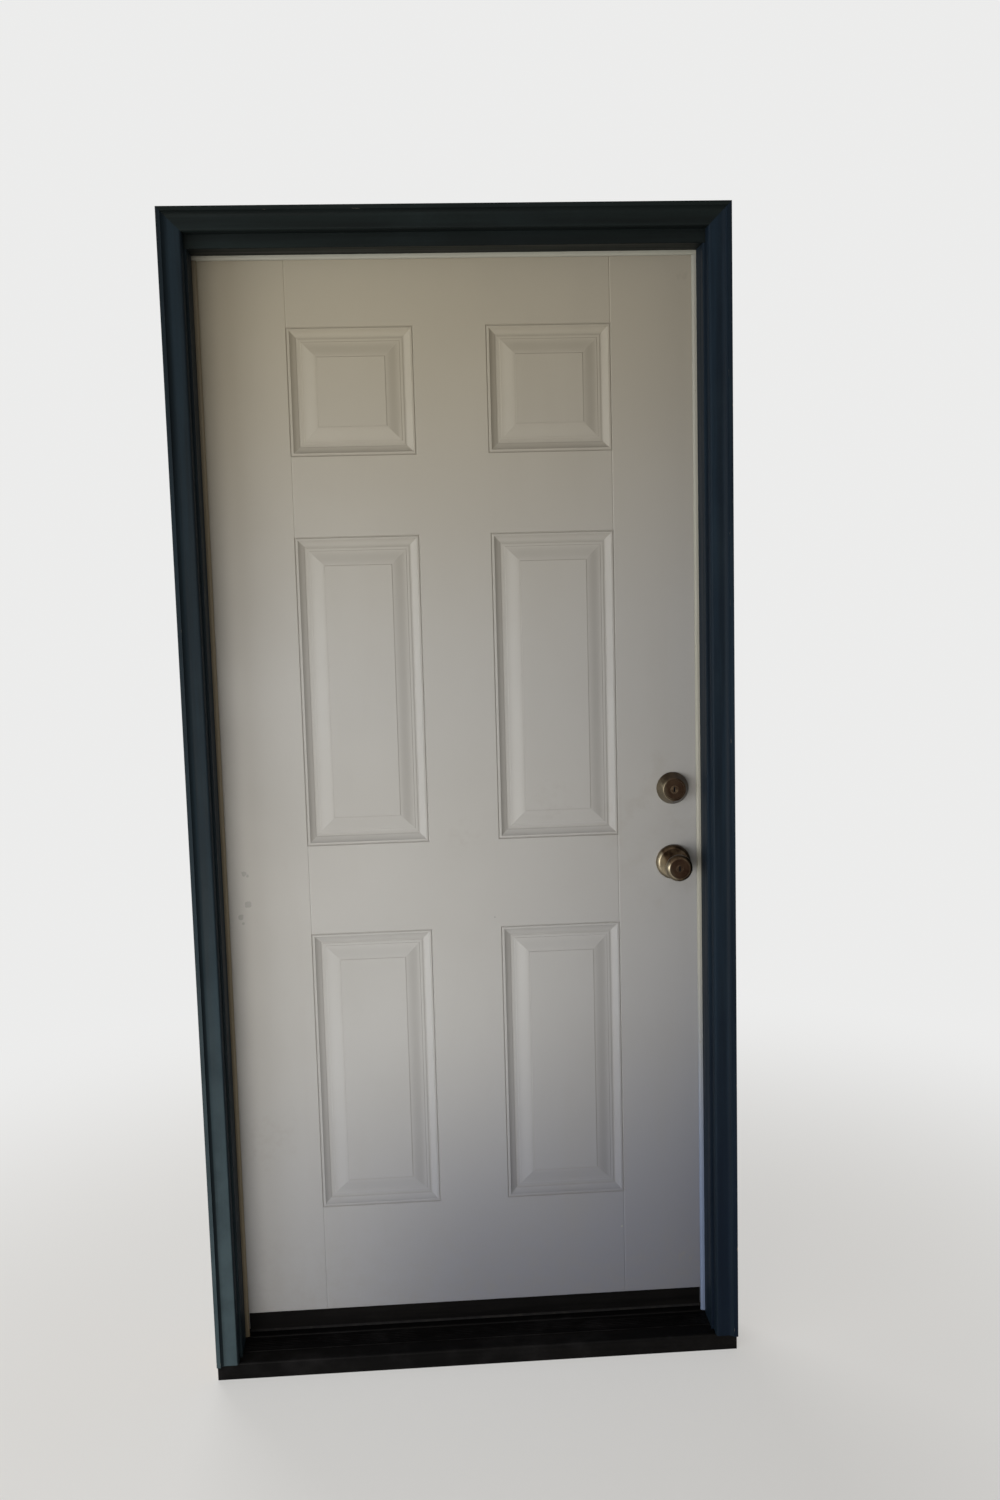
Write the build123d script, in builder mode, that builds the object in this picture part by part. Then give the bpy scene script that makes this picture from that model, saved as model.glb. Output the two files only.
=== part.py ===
# A panelled front door, opening inwards, hung in its own rabbeted frame.
# X runs to the right seen from outside, Y runs into the house and Z is up.
# The origin lies on the sill's base, half way along it. Millimetres throughout.
import os
from math import cos, radians, sin

from build123d import *

os.makedirs("parts", exist_ok=True)

# Door leaf
slab_width = 904.5
slab_height = 1992.0
slab_thickness = 44.45
skin_thickness = 0.8
stile_width = 32.0
rail_height = 38.0
lock_block_width = 116.0
lock_block_margin = 62.0

# Six panels, between the outer grooves of their mouldings
panel_width = 221.8
panel_shift = 1.75
mullion_width = 131.2
bottom_rail_face = 236.7
bottom_panel_height = 529.2
lock_rail_face = 168.2
middle_panel_height = 560.0
frieze_rail_face = 144.5
top_panel_height = 222.0

# Panel moulding, pressed into the skin
groove_half_width = 1.6
groove_depth = 1.5
bead_width = 4.4
bead_depth = 0.2
cove_width = 10.6
cove_depth = 6.6
cove_sag = 0.85
valley_depth = 7.3
valley_width = 2.5
ledge_depth = 6.7
ledge_width = 4.5
bevel_foot_depth = 6.0
bevel_width = 25.9
bevel_top_depth = 1.5
field_depth = 0.8
step_run = 0.7
field_overlap = 1.3
relief_room = 10.0
stile_line_half_width = 1.5
stile_line_depth = 0.6

# Frame
edge_gap = 3.2
rabbet_depth = 12.7
stop_gap = 11.1
jamb_thickness = 31.75
jamb_depth = 115.9
jamb_edge_radius = 1.5
kerf_width = 3.0
kerf_depth = 9.5
kerf_inset = 2.4
casing_width = 39.7
casing_thickness = 31.75
casing_flat_thickness = 25.0
casing_round = 4.5
casing_flat_width = 17.5
casing_slope_width = 10.5
casing_groove_width = 4.0
casing_groove_depth = 1.6
casing_groove_margin = 1.0
side_reveal = 4.8
head_reveal = 23.5

# Sill
sill_back_depth = 71.45
sill_front_depth = 63.0
cap_height = 38.1
nose_height = 31.0
nose_radius = 4.0
step_y = -31.0
step_drop = 1.6
tread_rise = 3.0
tread_wall = 2.2
cap_front_gap = 10.0
cap_play = 0.3
cap_lift = 0.8
channel_floor = 20.0
flute_count = 5
flute_spacing = 6.0
flute_width = 1.6
flute_depth = 0.6
cap_round = 2.5
cap_screw_count = 4
cap_screw_inset = 67.0
cap_screw_length = 26.0

# Weatherstrip and the seal under the leaf
strip_proud = 7.3
strip_round = 4.4
strip_play = 0.3
shoe_wall = 1.2
shoe_leg = 33.0
shoe_gap = 10.0
shoe_play = 0.7
shoe_end_gap = 1.0
fin_count = 4
fin_thickness = 1.4
fin_spacing = 9.0
fin_web = 1.0
pad_thickness = 1.4
pad_width = 24.0
pad_height = 50.0

# Butt hinges
hinge_height = 101.6
leaf_width = 38.0
leaf_thickness = 2.5
leaf_corner = 15.9
pin_radius = 4.0
pin_play = 0.05
knuckle_radius = 6.7
knuckle_count = 5
knuckle_play = 0.2
pin_offset = 7.0
pin_head_radius = 6.2
pin_head_height = 3.2
top_hinge_margin = 178.0
bottom_hinge_margin = 280.0
hinge_screw_spacing = 34.0
hinge_screw_stagger = 6.0
wood_screw_length = 17.0

# Countersunk screws
screw_radius = 2.1
screw_head_radius = 4.2
screw_head_height = 2.2
screw_play = 0.05

# Locks
backset = 60.3
knob_height = 927.0
lock_spacing = 139.7
cross_bore_radius = 27.0
edge_bore_radius = 12.7
case_radius = 12.4
case_wall = 0.8
case_half_depth = 8.0
case_top = 9.0
hub_radius = 6.0
hub_play = 0.1
hub_overhang = 0.4
cam_half_depth = 2.0
cam_arm_width = 5.0
cam_pin_radius = 1.4
cam_pin_overhang = 0.4
tube_overlap = 14.0
tail_low = -10.3
tail_high = -6.8
tail_front = 2.6
tail_back = 4.8
tail_joint = 3.0
ear_wall = 1.8
ear_floor = 1.2
ear_chamfer = 2.0
slot_end_play = 0.4
faceplate_width = 25.4
faceplate_height = 57.15
faceplate_thickness = 2.3
faceplate_round = 6.0
faceplate_screw_spacing = 41.3
bolt_play = 0.4
bolt_half_width = 6.4
bolt_chamfer = 0.8
latch_tip = 2.6
latch_half_height = 8.4
latch_throw = 12.7
latch_body_length = 24.0
latch_cam_reach = 14.0
latch_half_turn = 27.0
latch_slot_play = 0.5
latch_disc_radius = 21.5
deadbolt_half_height = 9.3
deadbolt_body_length = 39.0
deadbolt_set_back = 0.2
deadbolt_cam_reach = 17.0
deadbolt_half_turn = 45.0
deadbolt_slot_play = 1.0
deadbolt_disc_radius = 26.3

# Knob set
rose_radius = 32.5
rose_height = 12.0
cover_wall = 1.6
cover_rim = 3.0
cover_flat_radius = 27.0
shank_radius = 12.0
shank_play = 0.3
shank_depth = 3.0
flare_start = 20.0
flare_end = 56.0
knob_front = 70.0
knob_radius = 23.8
knob_rim_radius = 19.2
knob_face_radius = 17.6
knob_face_sink = 1.6
shoulder_radius = 11.0
plug_radius = 6.6
plug_play = 0.08
plug_length = 32.0
keyway_width = 1.6
keyway_height = 8.0
keyway_depth = 12.0
spindle_width = 7.0
spindle_play = 0.1
spindle_reach = 22.0
button_stem_radius = 4.6
button_stem_length = 20.0
button_width = 15.0
button_thickness = 4.6
button_height = 9.0
mount_screw_x = 15.0
mount_screw_z = 17.0
mount_post_radius = 3.8
mount_screw_grip = 8.0

# Deadbolt trim
housing_radius = 29.8
housing_rim = 2.4
housing_front_radius = 21.4
housing_height = 24.0
housing_chamfer = 1.0
cylinder_radius = 18.0
cylinder_play = 0.2
cylinder_sink = 1.6
cylinder_reach = 9.0
deadbolt_plug_radius = 7.2
deadbolt_plug_reach = 13.0
tailpiece_width = 6.0
tailpiece_thickness = 2.0
tailpiece_grip = 4.0
plate_radius = 30.0
plate_height = 9.0
stem_radius = 8.0
stem_depth = 4.0
turn_width = 34.0
turn_height = 15.0
turn_thickness = 6.0
turn_round = 2.0
turn_slope = 75.0
turn_gap = 0.6

# Strikes
strike_thickness = 1.6
strike_height = 57.15
latch_strike_width = 36.0
deadbolt_strike_width = 28.6
strike_lip = 5.0
strike_lip_height = 30.0
strike_round = 5.0
strike_bore_radius = 12.7
latch_pocket_depth = 14.0

# Places worked out from the sizes above
half_slab = slab_width / 2
inside_y = sill_back_depth
face_y = inside_y - slab_thickness
middle_y = (face_y + inside_y) / 2
jamb_front_y = inside_y - jamb_depth
casing_front_y = jamb_front_y - casing_thickness
sill_front_y = -sill_front_depth
stop_y = face_y - stop_gap
rabbet_x = half_slab + edge_gap
stop_x = rabbet_x - rabbet_depth
jamb_outer_x = stop_x + jamb_thickness
casing_inner_x = stop_x + side_reveal
casing_outer_x = casing_inner_x + casing_width
shoe_bottom = cap_height + shoe_gap
slab_bottom = shoe_bottom + shoe_wall
slab_top = slab_bottom + slab_height
slab_middle_z = (slab_bottom + slab_top) / 2
rabbet_z = slab_top + edge_gap
stop_z = rabbet_z - rabbet_depth
jamb_top = stop_z + jamb_thickness
casing_inner_z = stop_z + head_reveal
casing_outer_z = casing_inner_z + casing_width
cap_front_y = face_y - cap_front_gap
tread_top = nose_height + tread_rise
pin_x = -half_slab - edge_gap / 2
pin_y = inside_y + pin_offset
lock_x = half_slab - backset
case_front = half_slab - faceplate_thickness
deadbolt_height = knob_height + lock_spacing
hinge_places = {
    "top": slab_top - top_hinge_margin - hinge_height / 2,
    "middle": slab_middle_z,
    "bottom": slab_bottom + bottom_hinge_margin + hinge_height / 2,
}
panel_x = (mullion_width + panel_width) / 2
bottom_panel_z = slab_bottom + bottom_rail_face + bottom_panel_height / 2
middle_panel_low = slab_bottom + bottom_rail_face + bottom_panel_height + lock_rail_face
middle_panel_z = middle_panel_low + middle_panel_height / 2
top_panel_low = middle_panel_low + middle_panel_height + frieze_rail_face
top_panel_z = top_panel_low + top_panel_height / 2
panel_rows = [
    (bottom_panel_z, bottom_panel_height),
    (middle_panel_z, middle_panel_height),
    (top_panel_z, top_panel_height),
]

# Section planes of the frame: local X runs away from the opening, local Y runs inwards
strike_side = Plane(origin=(0, 0, 0), x_dir=(1, 0, 0), z_dir=(0, 0, 1))
hinge_side = Plane(origin=(0, 0, 0), x_dir=(-1, 0, 0), z_dir=(0, 0, -1))
head_side = Plane(origin=(0, 0, 0), x_dir=(0, 0, 1), z_dir=(-1, 0, 0))


def keep(piece, name):
    """Label a finished piece and write it as its own STEP file."""
    piece.part.label = name
    export_step(piece.part, f"parts/{name}.step")


def between(plane, low, high):
    """The plane moved along its normal to the lower end, and the length to extrude."""
    if plane.z_dir.Z < 0:
        return plane.offset(-high), high - low
    return plane.offset(low), high - low


# Frame sections


def jamb_section(plane, stop):
    """Rabbeted jamb: the leaf lies in the rabbet, against the strip in the stop's kerf."""
    rabbet = stop + rabbet_depth
    back = stop + jamb_thickness
    with BuildSketch(plane) as section:
        with BuildLine():
            Polyline(
                (stop, jamb_front_y),
                (back, jamb_front_y),
                (back, inside_y),
                (rabbet, inside_y),
                (rabbet, stop_y),
                (stop, stop_y),
                close=True,
            )
        make_face()
        fillet(section.vertices().group_by(Axis.X)[0], jamb_edge_radius)
    return section.sketch


def kerf_section(plane, stop):
    """Saw kerf in the stop's shoulder, beside the rabbet face."""
    middle = stop + rabbet_depth - kerf_inset - kerf_width / 2
    with BuildSketch(plane) as section:
        with Locations((middle, stop_y - kerf_depth / 2)):
            Rectangle(kerf_width, kerf_depth)
    return section.sketch


def strip_section(plane, stop):
    """Foam-filled weatherstrip, pressed flat by the leaf, with its barb in the kerf."""
    inner = stop - strip_proud
    outer = stop + rabbet_depth - strip_play
    kerf_middle = stop + rabbet_depth - kerf_inset - kerf_width / 2
    with BuildSketch(plane) as section:
        with Locations(((inner + outer) / 2, stop_y + stop_gap / 2)):
            Rectangle(outer - inner, stop_gap - 2 * strip_play)
        fillet(section.vertices().group_by(Axis.X)[0], strip_round)
        with Locations((kerf_middle, stop_y - kerf_depth / 2 + strip_play)):
            Rectangle(kerf_width - 2 * strip_play, kerf_depth)
    return section.sketch


def casing_section(plane, inner, jamb_back):
    """Brickmould: rounded inner edge, a flat, then a cove up to the raised outer edge."""
    outer = inner + casing_width
    groove_start = jamb_back - casing_groove_margin
    groove_end = groove_start + casing_groove_width
    groove_y = jamb_front_y - casing_groove_depth
    flat_y = jamb_front_y - casing_flat_thickness
    flat_start = inner + casing_round
    flat_end = flat_start + casing_flat_width
    cove_end = flat_end + casing_slope_width
    with BuildSketch(plane) as section:
        with BuildLine():
            Line((inner, jamb_front_y), (inner, flat_y + casing_round))
            TangentArc((inner, flat_y + casing_round), (flat_start, flat_y), tangent=(0, -1))
            Line((flat_start, flat_y), (flat_end, flat_y))
            TangentArc((flat_end, flat_y), (cove_end, casing_front_y), tangent=(1, 0))
            Polyline(
                (cove_end, casing_front_y),
                (outer, casing_front_y),
                (outer, jamb_front_y),
                (groove_end, jamb_front_y),
                (groove_end, groove_y),
                (groove_start, groove_y),
                (groove_start, jamb_front_y),
                (inner, jamb_front_y),
            )
        make_face()
    return section.sketch


def sill_section(shrink=0.0):
    """Sill without its cap, looking along X; shrink leaves out the metal's thickness."""
    front = sill_front_y + shrink
    nose = nose_height - shrink
    low = tread_top - shrink
    high = tread_top + step_drop - shrink
    with BuildSketch(Plane.YZ) as section:
        with BuildLine():
            Polyline(
                (front, 0),
                (front, nose),
                (step_y + shrink, low),
                (step_y + shrink, high),
                (cap_front_y - shrink, high),
                (cap_front_y - shrink, channel_floor - shrink),
                (inside_y, channel_floor - shrink),
                (inside_y, 0),
                close=True,
            )
        make_face()
        corner = section.vertices().sort_by_distance((front, nose))[0]
        fillet(corner, max(nose_radius - shrink, nose_radius / 4))
    return section.sketch


def head_end_section():
    """The head jamb's square outline, looking along X, for cutting the side jambs' tops."""
    with BuildSketch(Plane.YZ) as section:
        with BuildLine():
            Polyline(
                (jamb_front_y, stop_z),
                (stop_y, stop_z),
                (stop_y, rabbet_z),
                (inside_y, rabbet_z),
                (inside_y, jamb_top),
                (jamb_front_y, jamb_top),
                close=True,
            )
        make_face()
    return section.sketch


def box_between(low, high, mode=Mode.ADD):
    """A box given by its lowest and highest corners."""
    middle = [(a + b) / 2 for a, b in zip(low, high)]
    size = [b - a for a, b in zip(low, high)]
    with Locations(tuple(middle)):
        Box(size[0], size[1], size[2], mode=mode)


def screws(places, direction, length, play=0.0, mode=Mode.ADD):
    """Countersunk screws with their heads flush at the places, or with play their holes."""
    from_face = (Align.CENTER, Align.CENTER, Align.MIN)
    with Locations(*[Plane(origin=place, z_dir=direction) for place in places]):
        Cone(
            screw_head_radius + play,
            screw_radius + play,
            screw_head_height,
            align=from_face,
            mode=mode,
        )
        Cylinder(screw_radius + play, length + play, align=from_face, mode=mode)


def upright_bore(x, y, low, high, radius, mode=Mode.SUBTRACT):
    """A round bar or bore along Z."""
    with Locations((x, y, low)):
        Cylinder(radius, high - low, align=(Align.CENTER, Align.CENTER, Align.MIN), mode=mode)


def edge_bore(height, low, high, radius, mode=Mode.SUBTRACT):
    """A round bar or bore along X in the leaf's middle plane."""
    with Locations(Plane(origin=(low, middle_y, height), z_dir=(1, 0, 0))):
        Cylinder(radius, high - low, align=(Align.CENTER, Align.CENTER, Align.MIN), mode=mode)


def cross_bar(x, height, low, high, radius, mode=Mode.SUBTRACT):
    """A round bar or bore along Y."""
    with Locations(Plane(origin=(x, low, height), z_dir=(0, 1, 0))):
        Cylinder(radius, high - low, align=(Align.CENTER, Align.CENTER, Align.MIN), mode=mode)


# Places of screws
hinge_screw_offsets = [
    (-hinge_screw_stagger, hinge_screw_spacing),
    (hinge_screw_stagger, 0.0),
    (-hinge_screw_stagger, -hinge_screw_spacing),
]
door_hinge_screw_places = []
jamb_hinge_screw_places = []
for hinge_z in hinge_places.values():
    for across, up in hinge_screw_offsets:
        screw_y = inside_y - leaf_width / 2 + across
        door_hinge_screw_places.append((-half_slab, screw_y, hinge_z + up))
        jamb_hinge_screw_places.append((-rabbet_x, screw_y, hinge_z + up))
faceplate_screw_places = []
strike_screw_places = []
for lock_height in (knob_height, deadbolt_height):
    for up in (-faceplate_screw_spacing / 2, faceplate_screw_spacing / 2):
        faceplate_screw_places.append((half_slab, middle_y, lock_height + up))
        strike_screw_places.append((rabbet_x, middle_y, lock_height + up))
cap_middle_y = (cap_front_y + inside_y) / 2
cap_screw_spacing = 2 * (rabbet_x - cap_screw_inset) / (cap_screw_count - 1)
cap_screw_places = []
for index in range(cap_screw_count):
    screw_x = (index - (cap_screw_count - 1) / 2) * cap_screw_spacing
    cap_screw_places.append((screw_x, cap_middle_y, cap_height))


# Sill
def cut_sill_corners():
    """Behind the casings the sill is as wide as the jambs, which leaves a horn in front."""
    for side in (-1, 1):
        near = side * jamb_outer_x
        far = side * (casing_outer_x + jamb_thickness)
        low = (min(near, far), jamb_front_y, -cap_height)
        high = (max(near, far), inside_y + cap_height, 2 * cap_height)
        box_between(low, high, Mode.SUBTRACT)


with BuildPart() as sill_base:
    extrude(sill_section(tread_wall), amount=casing_outer_x, both=True)
    cut_sill_corners()
    screws(cap_screw_places, (0, 0, -1), cap_screw_length, screw_play, Mode.SUBTRACT)
keep(sill_base, "sill_base")

with BuildPart() as sill_tread:
    extrude(sill_section(), amount=casing_outer_x, both=True)
    extrude(sill_section(tread_wall), amount=casing_outer_x, both=True, mode=Mode.SUBTRACT)
    cut_sill_corners()
    flutes_middle = (step_y + cap_front_y) / 2
    with Locations((0, flutes_middle, tread_top + step_drop)):
        with GridLocations(1, flute_spacing, 1, flute_count):
            Box(2 * stop_x, flute_width, 2 * flute_depth, mode=Mode.SUBTRACT)
    screws(cap_screw_places, (0, 0, -1), cap_screw_length, screw_play, Mode.SUBTRACT)
keep(sill_tread, "sill_tread")

with BuildPart() as sill_cap:
    cap_low = (-rabbet_x + cap_play, cap_front_y + cap_play, channel_floor + cap_lift)
    box_between(cap_low, (rabbet_x - cap_play, inside_y, cap_height))
    top_edges = sill_cap.faces().sort_by(Axis.Z)[-1].edges().filter_by(Axis.X)
    fillet(top_edges, cap_round)
    screws(cap_screw_places, (0, 0, -1), cap_screw_length, screw_play, Mode.SUBTRACT)
keep(sill_cap, "sill_cap")

with BuildPart() as sill_cap_screws:
    screws(cap_screw_places, (0, 0, -1), cap_screw_length)
keep(sill_cap_screws, "sill_cap_screws")


# Hinge leaves
def leaf_outline(plane, height):
    """Butt hinge leaf with two round corners, seen along X."""
    with BuildSketch(plane) as outline:
        with Locations((inside_y - leaf_width / 2, height)):
            Rectangle(leaf_width, hinge_height)
        fillet(outline.vertices().group_by(Axis.X)[0], leaf_corner)
    return outline.sketch


def leaf_slab(low_x, height, mode=Mode.ADD):
    """The flat of one hinge leaf, or its mortise."""
    extrude(leaf_outline(Plane.YZ.offset(low_x), height), amount=leaf_thickness, mode=mode)


def hinge_leaf(low_x, height, knuckles, screw_places, direction):
    """One leaf with its share of the knuckles rolled round the pin."""
    leaf_slab(low_x, height)
    knuckle_height = hinge_height / knuckle_count
    for index in knuckles:
        low = height - hinge_height / 2 + index * knuckle_height + knuckle_play / 2
        high = low + knuckle_height - knuckle_play
        upright_bore(pin_x, pin_y, low, high, knuckle_radius, Mode.ADD)
        box_between((low_x, inside_y - leaf_thickness, low), (low_x + leaf_thickness, pin_y, high))
    bore_low = height - hinge_height
    upright_bore(pin_x, pin_y, bore_low, bore_low + 2 * hinge_height, pin_radius + pin_play)
    screws(screw_places, direction, wood_screw_length, screw_play, Mode.SUBTRACT)


jamb_knuckles = range(0, knuckle_count, 2)
door_knuckles = range(1, knuckle_count, 2)
jamb_leaf_x = -rabbet_x - leaf_thickness
for place, hinge_z in hinge_places.items():
    with BuildPart() as jamb_leaf:
        hinge_leaf(jamb_leaf_x, hinge_z, jamb_knuckles, jamb_hinge_screw_places, (-1, 0, 0))
    keep(jamb_leaf, f"jamb_leaf_{place}")
    with BuildPart() as door_leaf:
        hinge_leaf(-half_slab, hinge_z, door_knuckles, door_hinge_screw_places, (1, 0, 0))
    keep(door_leaf, f"door_leaf_{place}")

with BuildPart() as hinge_pins:
    for hinge_z in hinge_places.values():
        top = hinge_z + hinge_height / 2
        bottom = hinge_z - hinge_height / 2
        upright_bore(pin_x, pin_y, bottom, top, pin_radius, Mode.ADD)
        upright_bore(pin_x, pin_y, top, top + pin_head_height, pin_head_radius, Mode.ADD)
keep(hinge_pins, "hinge_pins")

with BuildPart() as jamb_hinge_screws:
    screws(jamb_hinge_screw_places, (-1, 0, 0), wood_screw_length)
keep(jamb_hinge_screws, "jamb_hinge_screws")

with BuildPart() as door_hinge_screws:
    screws(door_hinge_screw_places, (1, 0, 0), wood_screw_length)
keep(door_hinge_screws, "door_hinge_screws")


# Strikes
def strike_outline(low_y, high_y, height):
    """Strike plate with round corners, seen along X."""
    with BuildSketch(Plane.YZ.offset(rabbet_x)) as outline:
        with Locations(((low_y + high_y) / 2, height)):
            Rectangle(high_y - low_y, strike_height)
        fillet(outline.vertices().group_by(Axis.X)[0], strike_round)
    return outline.sketch


def strike_slab(low_y, high_y, height, mode=Mode.ADD):
    """The flat of one strike plate, or its mortise."""
    extrude(strike_outline(low_y, high_y, height), amount=strike_thickness, mode=mode)


def strike_window(height, half_height):
    """The hole that the bolt enters."""
    room_y = bolt_half_width + 2 * bolt_play
    room_z = half_height + 2 * bolt_play
    low = (rabbet_x - strike_thickness, middle_y - room_y, height - room_z)
    high = (rabbet_x + 2 * strike_thickness, middle_y + room_y, height + room_z)
    box_between(low, high, Mode.SUBTRACT)


latch_strike_y = inside_y - latch_strike_width
deadbolt_strike_low_y = middle_y - deadbolt_strike_width / 2
deadbolt_strike_high_y = middle_y + deadbolt_strike_width / 2

with BuildPart() as latch_strike:
    strike_slab(latch_strike_y, inside_y, knob_height)
    lip_plane = Plane.XY.offset(knob_height - strike_lip_height / 2)
    with BuildSketch(lip_plane):
        with Locations((rabbet_x + strike_lip, inside_y)):
            Circle(strike_lip)
            Circle(strike_lip - strike_thickness, mode=Mode.SUBTRACT)
        with Locations((rabbet_x, inside_y)):
            Rectangle(strike_lip, strike_lip, align=Align.MIN, mode=Mode.INTERSECT)
    extrude(amount=strike_lip_height)
    strike_window(knob_height, latch_half_height)
    screws(strike_screw_places, (1, 0, 0), wood_screw_length, screw_play, Mode.SUBTRACT)
keep(latch_strike, "latch_strike")

with BuildPart() as deadbolt_strike:
    strike_slab(deadbolt_strike_low_y, deadbolt_strike_high_y, deadbolt_height)
    strike_window(deadbolt_height, deadbolt_half_height)
    screws(strike_screw_places, (1, 0, 0), wood_screw_length, screw_play, Mode.SUBTRACT)
keep(deadbolt_strike, "deadbolt_strike")

with BuildPart() as strike_screws:
    screws(strike_screw_places, (1, 0, 0), wood_screw_length)
keep(strike_screws, "strike_screws")


# Jambs
def side_jamb(side):
    """One side jamb, coped over the sill and under the head."""
    plane, length = between(side, channel_floor - tread_wall, jamb_top)
    extrude(jamb_section(plane, stop_x), amount=length)
    extrude(kerf_section(plane, stop_x), amount=length, mode=Mode.SUBTRACT)
    extrude(head_end_section(), amount=casing_outer_x, both=True, mode=Mode.SUBTRACT)
    extrude(sill_section(), amount=casing_outer_x, both=True, mode=Mode.SUBTRACT)


with BuildPart() as hinge_jamb:
    side_jamb(hinge_side)
    for hinge_z in hinge_places.values():
        leaf_slab(jamb_leaf_x, hinge_z, Mode.SUBTRACT)
    screws(jamb_hinge_screw_places, (-1, 0, 0), wood_screw_length, screw_play, Mode.SUBTRACT)
keep(hinge_jamb, "hinge_jamb")

with BuildPart() as strike_jamb:
    side_jamb(strike_side)
    strike_slab(latch_strike_y, inside_y, knob_height, Mode.SUBTRACT)
    strike_slab(deadbolt_strike_low_y, deadbolt_strike_high_y, deadbolt_height, Mode.SUBTRACT)
    screws(strike_screw_places, (1, 0, 0), wood_screw_length, screw_play, Mode.SUBTRACT)
    edge_bore(knob_height, rabbet_x, rabbet_x + latch_pocket_depth, strike_bore_radius)
    edge_bore(deadbolt_height, rabbet_x, jamb_outer_x + strike_lip, strike_bore_radius)
keep(strike_jamb, "strike_jamb")

with BuildPart() as head_jamb:
    head_plane, head_length = between(head_side, -jamb_outer_x, jamb_outer_x)
    extrude(jamb_section(head_plane, stop_z), amount=head_length)
    kerf_plane, kerf_length = between(head_side, -rabbet_x, rabbet_x)
    extrude(kerf_section(kerf_plane, stop_z), amount=kerf_length, mode=Mode.SUBTRACT)
keep(head_jamb, "head_jamb")

# Casings, mitred at the top corners
hinge_mitre = Plane(origin=(-casing_inner_x, 0, casing_inner_z), z_dir=(1, 0, 1))
strike_mitre = Plane(origin=(casing_inner_x, 0, casing_inner_z), z_dir=(-1, 0, 1))

with BuildPart() as hinge_casing:
    leg_plane, leg_length = between(hinge_side, nose_height, casing_outer_z)
    extrude(casing_section(leg_plane, casing_inner_x, jamb_outer_x), amount=leg_length)
    split(bisect_by=hinge_mitre, keep=Keep.BOTTOM)
    extrude(sill_section(), amount=casing_outer_x, both=True, mode=Mode.SUBTRACT)
keep(hinge_casing, "hinge_casing")

with BuildPart() as strike_casing:
    leg_plane, leg_length = between(strike_side, nose_height, casing_outer_z)
    extrude(casing_section(leg_plane, casing_inner_x, jamb_outer_x), amount=leg_length)
    split(bisect_by=strike_mitre, keep=Keep.BOTTOM)
    extrude(sill_section(), amount=casing_outer_x, both=True, mode=Mode.SUBTRACT)
keep(strike_casing, "strike_casing")

with BuildPart() as head_casing:
    head_plane, head_length = between(head_side, -casing_outer_x, casing_outer_x)
    extrude(casing_section(head_plane, casing_inner_z, jamb_top), amount=head_length)
    split(bisect_by=hinge_mitre, keep=Keep.TOP)
    split(bisect_by=strike_mitre, keep=Keep.TOP)
keep(head_casing, "head_casing")


# Weatherstrips and corner pads
def side_strip(side):
    """Weatherstrip from the sill's cap up to the head's strip."""
    plane, length = between(side, cap_height + strip_play, stop_z - strip_proud)
    extrude(strip_section(plane, stop_x), amount=length)


with BuildPart() as hinge_weatherstrip:
    side_strip(hinge_side)
keep(hinge_weatherstrip, "hinge_weatherstrip")

with BuildPart() as strike_weatherstrip:
    side_strip(strike_side)
keep(strike_weatherstrip, "strike_weatherstrip")

with BuildPart() as head_weatherstrip:
    strip_plane, strip_length = between(head_side, -rabbet_x + strip_play, rabbet_x - strip_play)
    extrude(strip_section(strip_plane, stop_z), amount=strip_length)
keep(head_weatherstrip, "head_weatherstrip")

with BuildPart() as corner_pads:
    for side in (-1, 1):
        with Locations((side * (rabbet_x - pad_thickness / 2), middle_y, cap_height + pad_height / 2)):
            Box(pad_thickness, pad_width, pad_height)
keep(corner_pads, "corner_pads")


# Leaf skins
def panel_cutter(width, height):
    """What the press moves aside for one panel: moulding, bevel and raised field."""
    cove_start = bead_width
    cove_end = cove_start + cove_width
    valley_start = cove_end + step_run
    valley_end = valley_start + valley_width
    ledge_start = valley_end + step_run
    ledge_end = ledge_start + ledge_width
    bevel_start = ledge_end + step_run
    bevel_end = bevel_start + bevel_width
    field_start = bevel_end + step_run
    clear = -skin_thickness
    with BuildPart() as cutter:
        with BuildLine(Plane.XZ) as path:
            Polyline(
                (0, -height / 2),
                (-width / 2, -height / 2),
                (-width / 2, height / 2),
                (width / 2, height / 2),
                (width / 2, -height / 2),
                close=True,
            )
        start = Plane(origin=(0, 0, -height / 2), x_dir=head_side.x_dir, z_dir=head_side.z_dir)
        with BuildSketch(start):
            with BuildLine():
                Polyline(
                    (field_start + field_overlap, clear),
                    (-groove_half_width, clear),
                    (-groove_half_width, 0),
                    (0, groove_depth),
                    (groove_half_width, bead_depth),
                    (cove_start, bead_depth),
                )
                SagittaArc((cove_start, bead_depth), (cove_end, cove_depth), cove_sag)
                Polyline(
                    (cove_end, cove_depth),
                    (valley_start, valley_depth),
                    (valley_end, valley_depth),
                    (ledge_start, ledge_depth),
                    (ledge_end, ledge_depth),
                    (bevel_start, bevel_foot_depth),
                    (bevel_end, bevel_top_depth),
                    (field_start, field_depth),
                    (field_start + field_overlap, field_depth),
                    (field_start + field_overlap, clear),
                )
            make_face()
        sweep(path=path.wires()[0], transition=Transition.RIGHT)
        inset = field_start + field_overlap / 2
        low = (-width / 2 + inset, clear, -height / 2 + inset)
        high = (width / 2 - inset, field_depth, height / 2 - inset)
        box_between(low, high)
    return cutter.part


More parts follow.
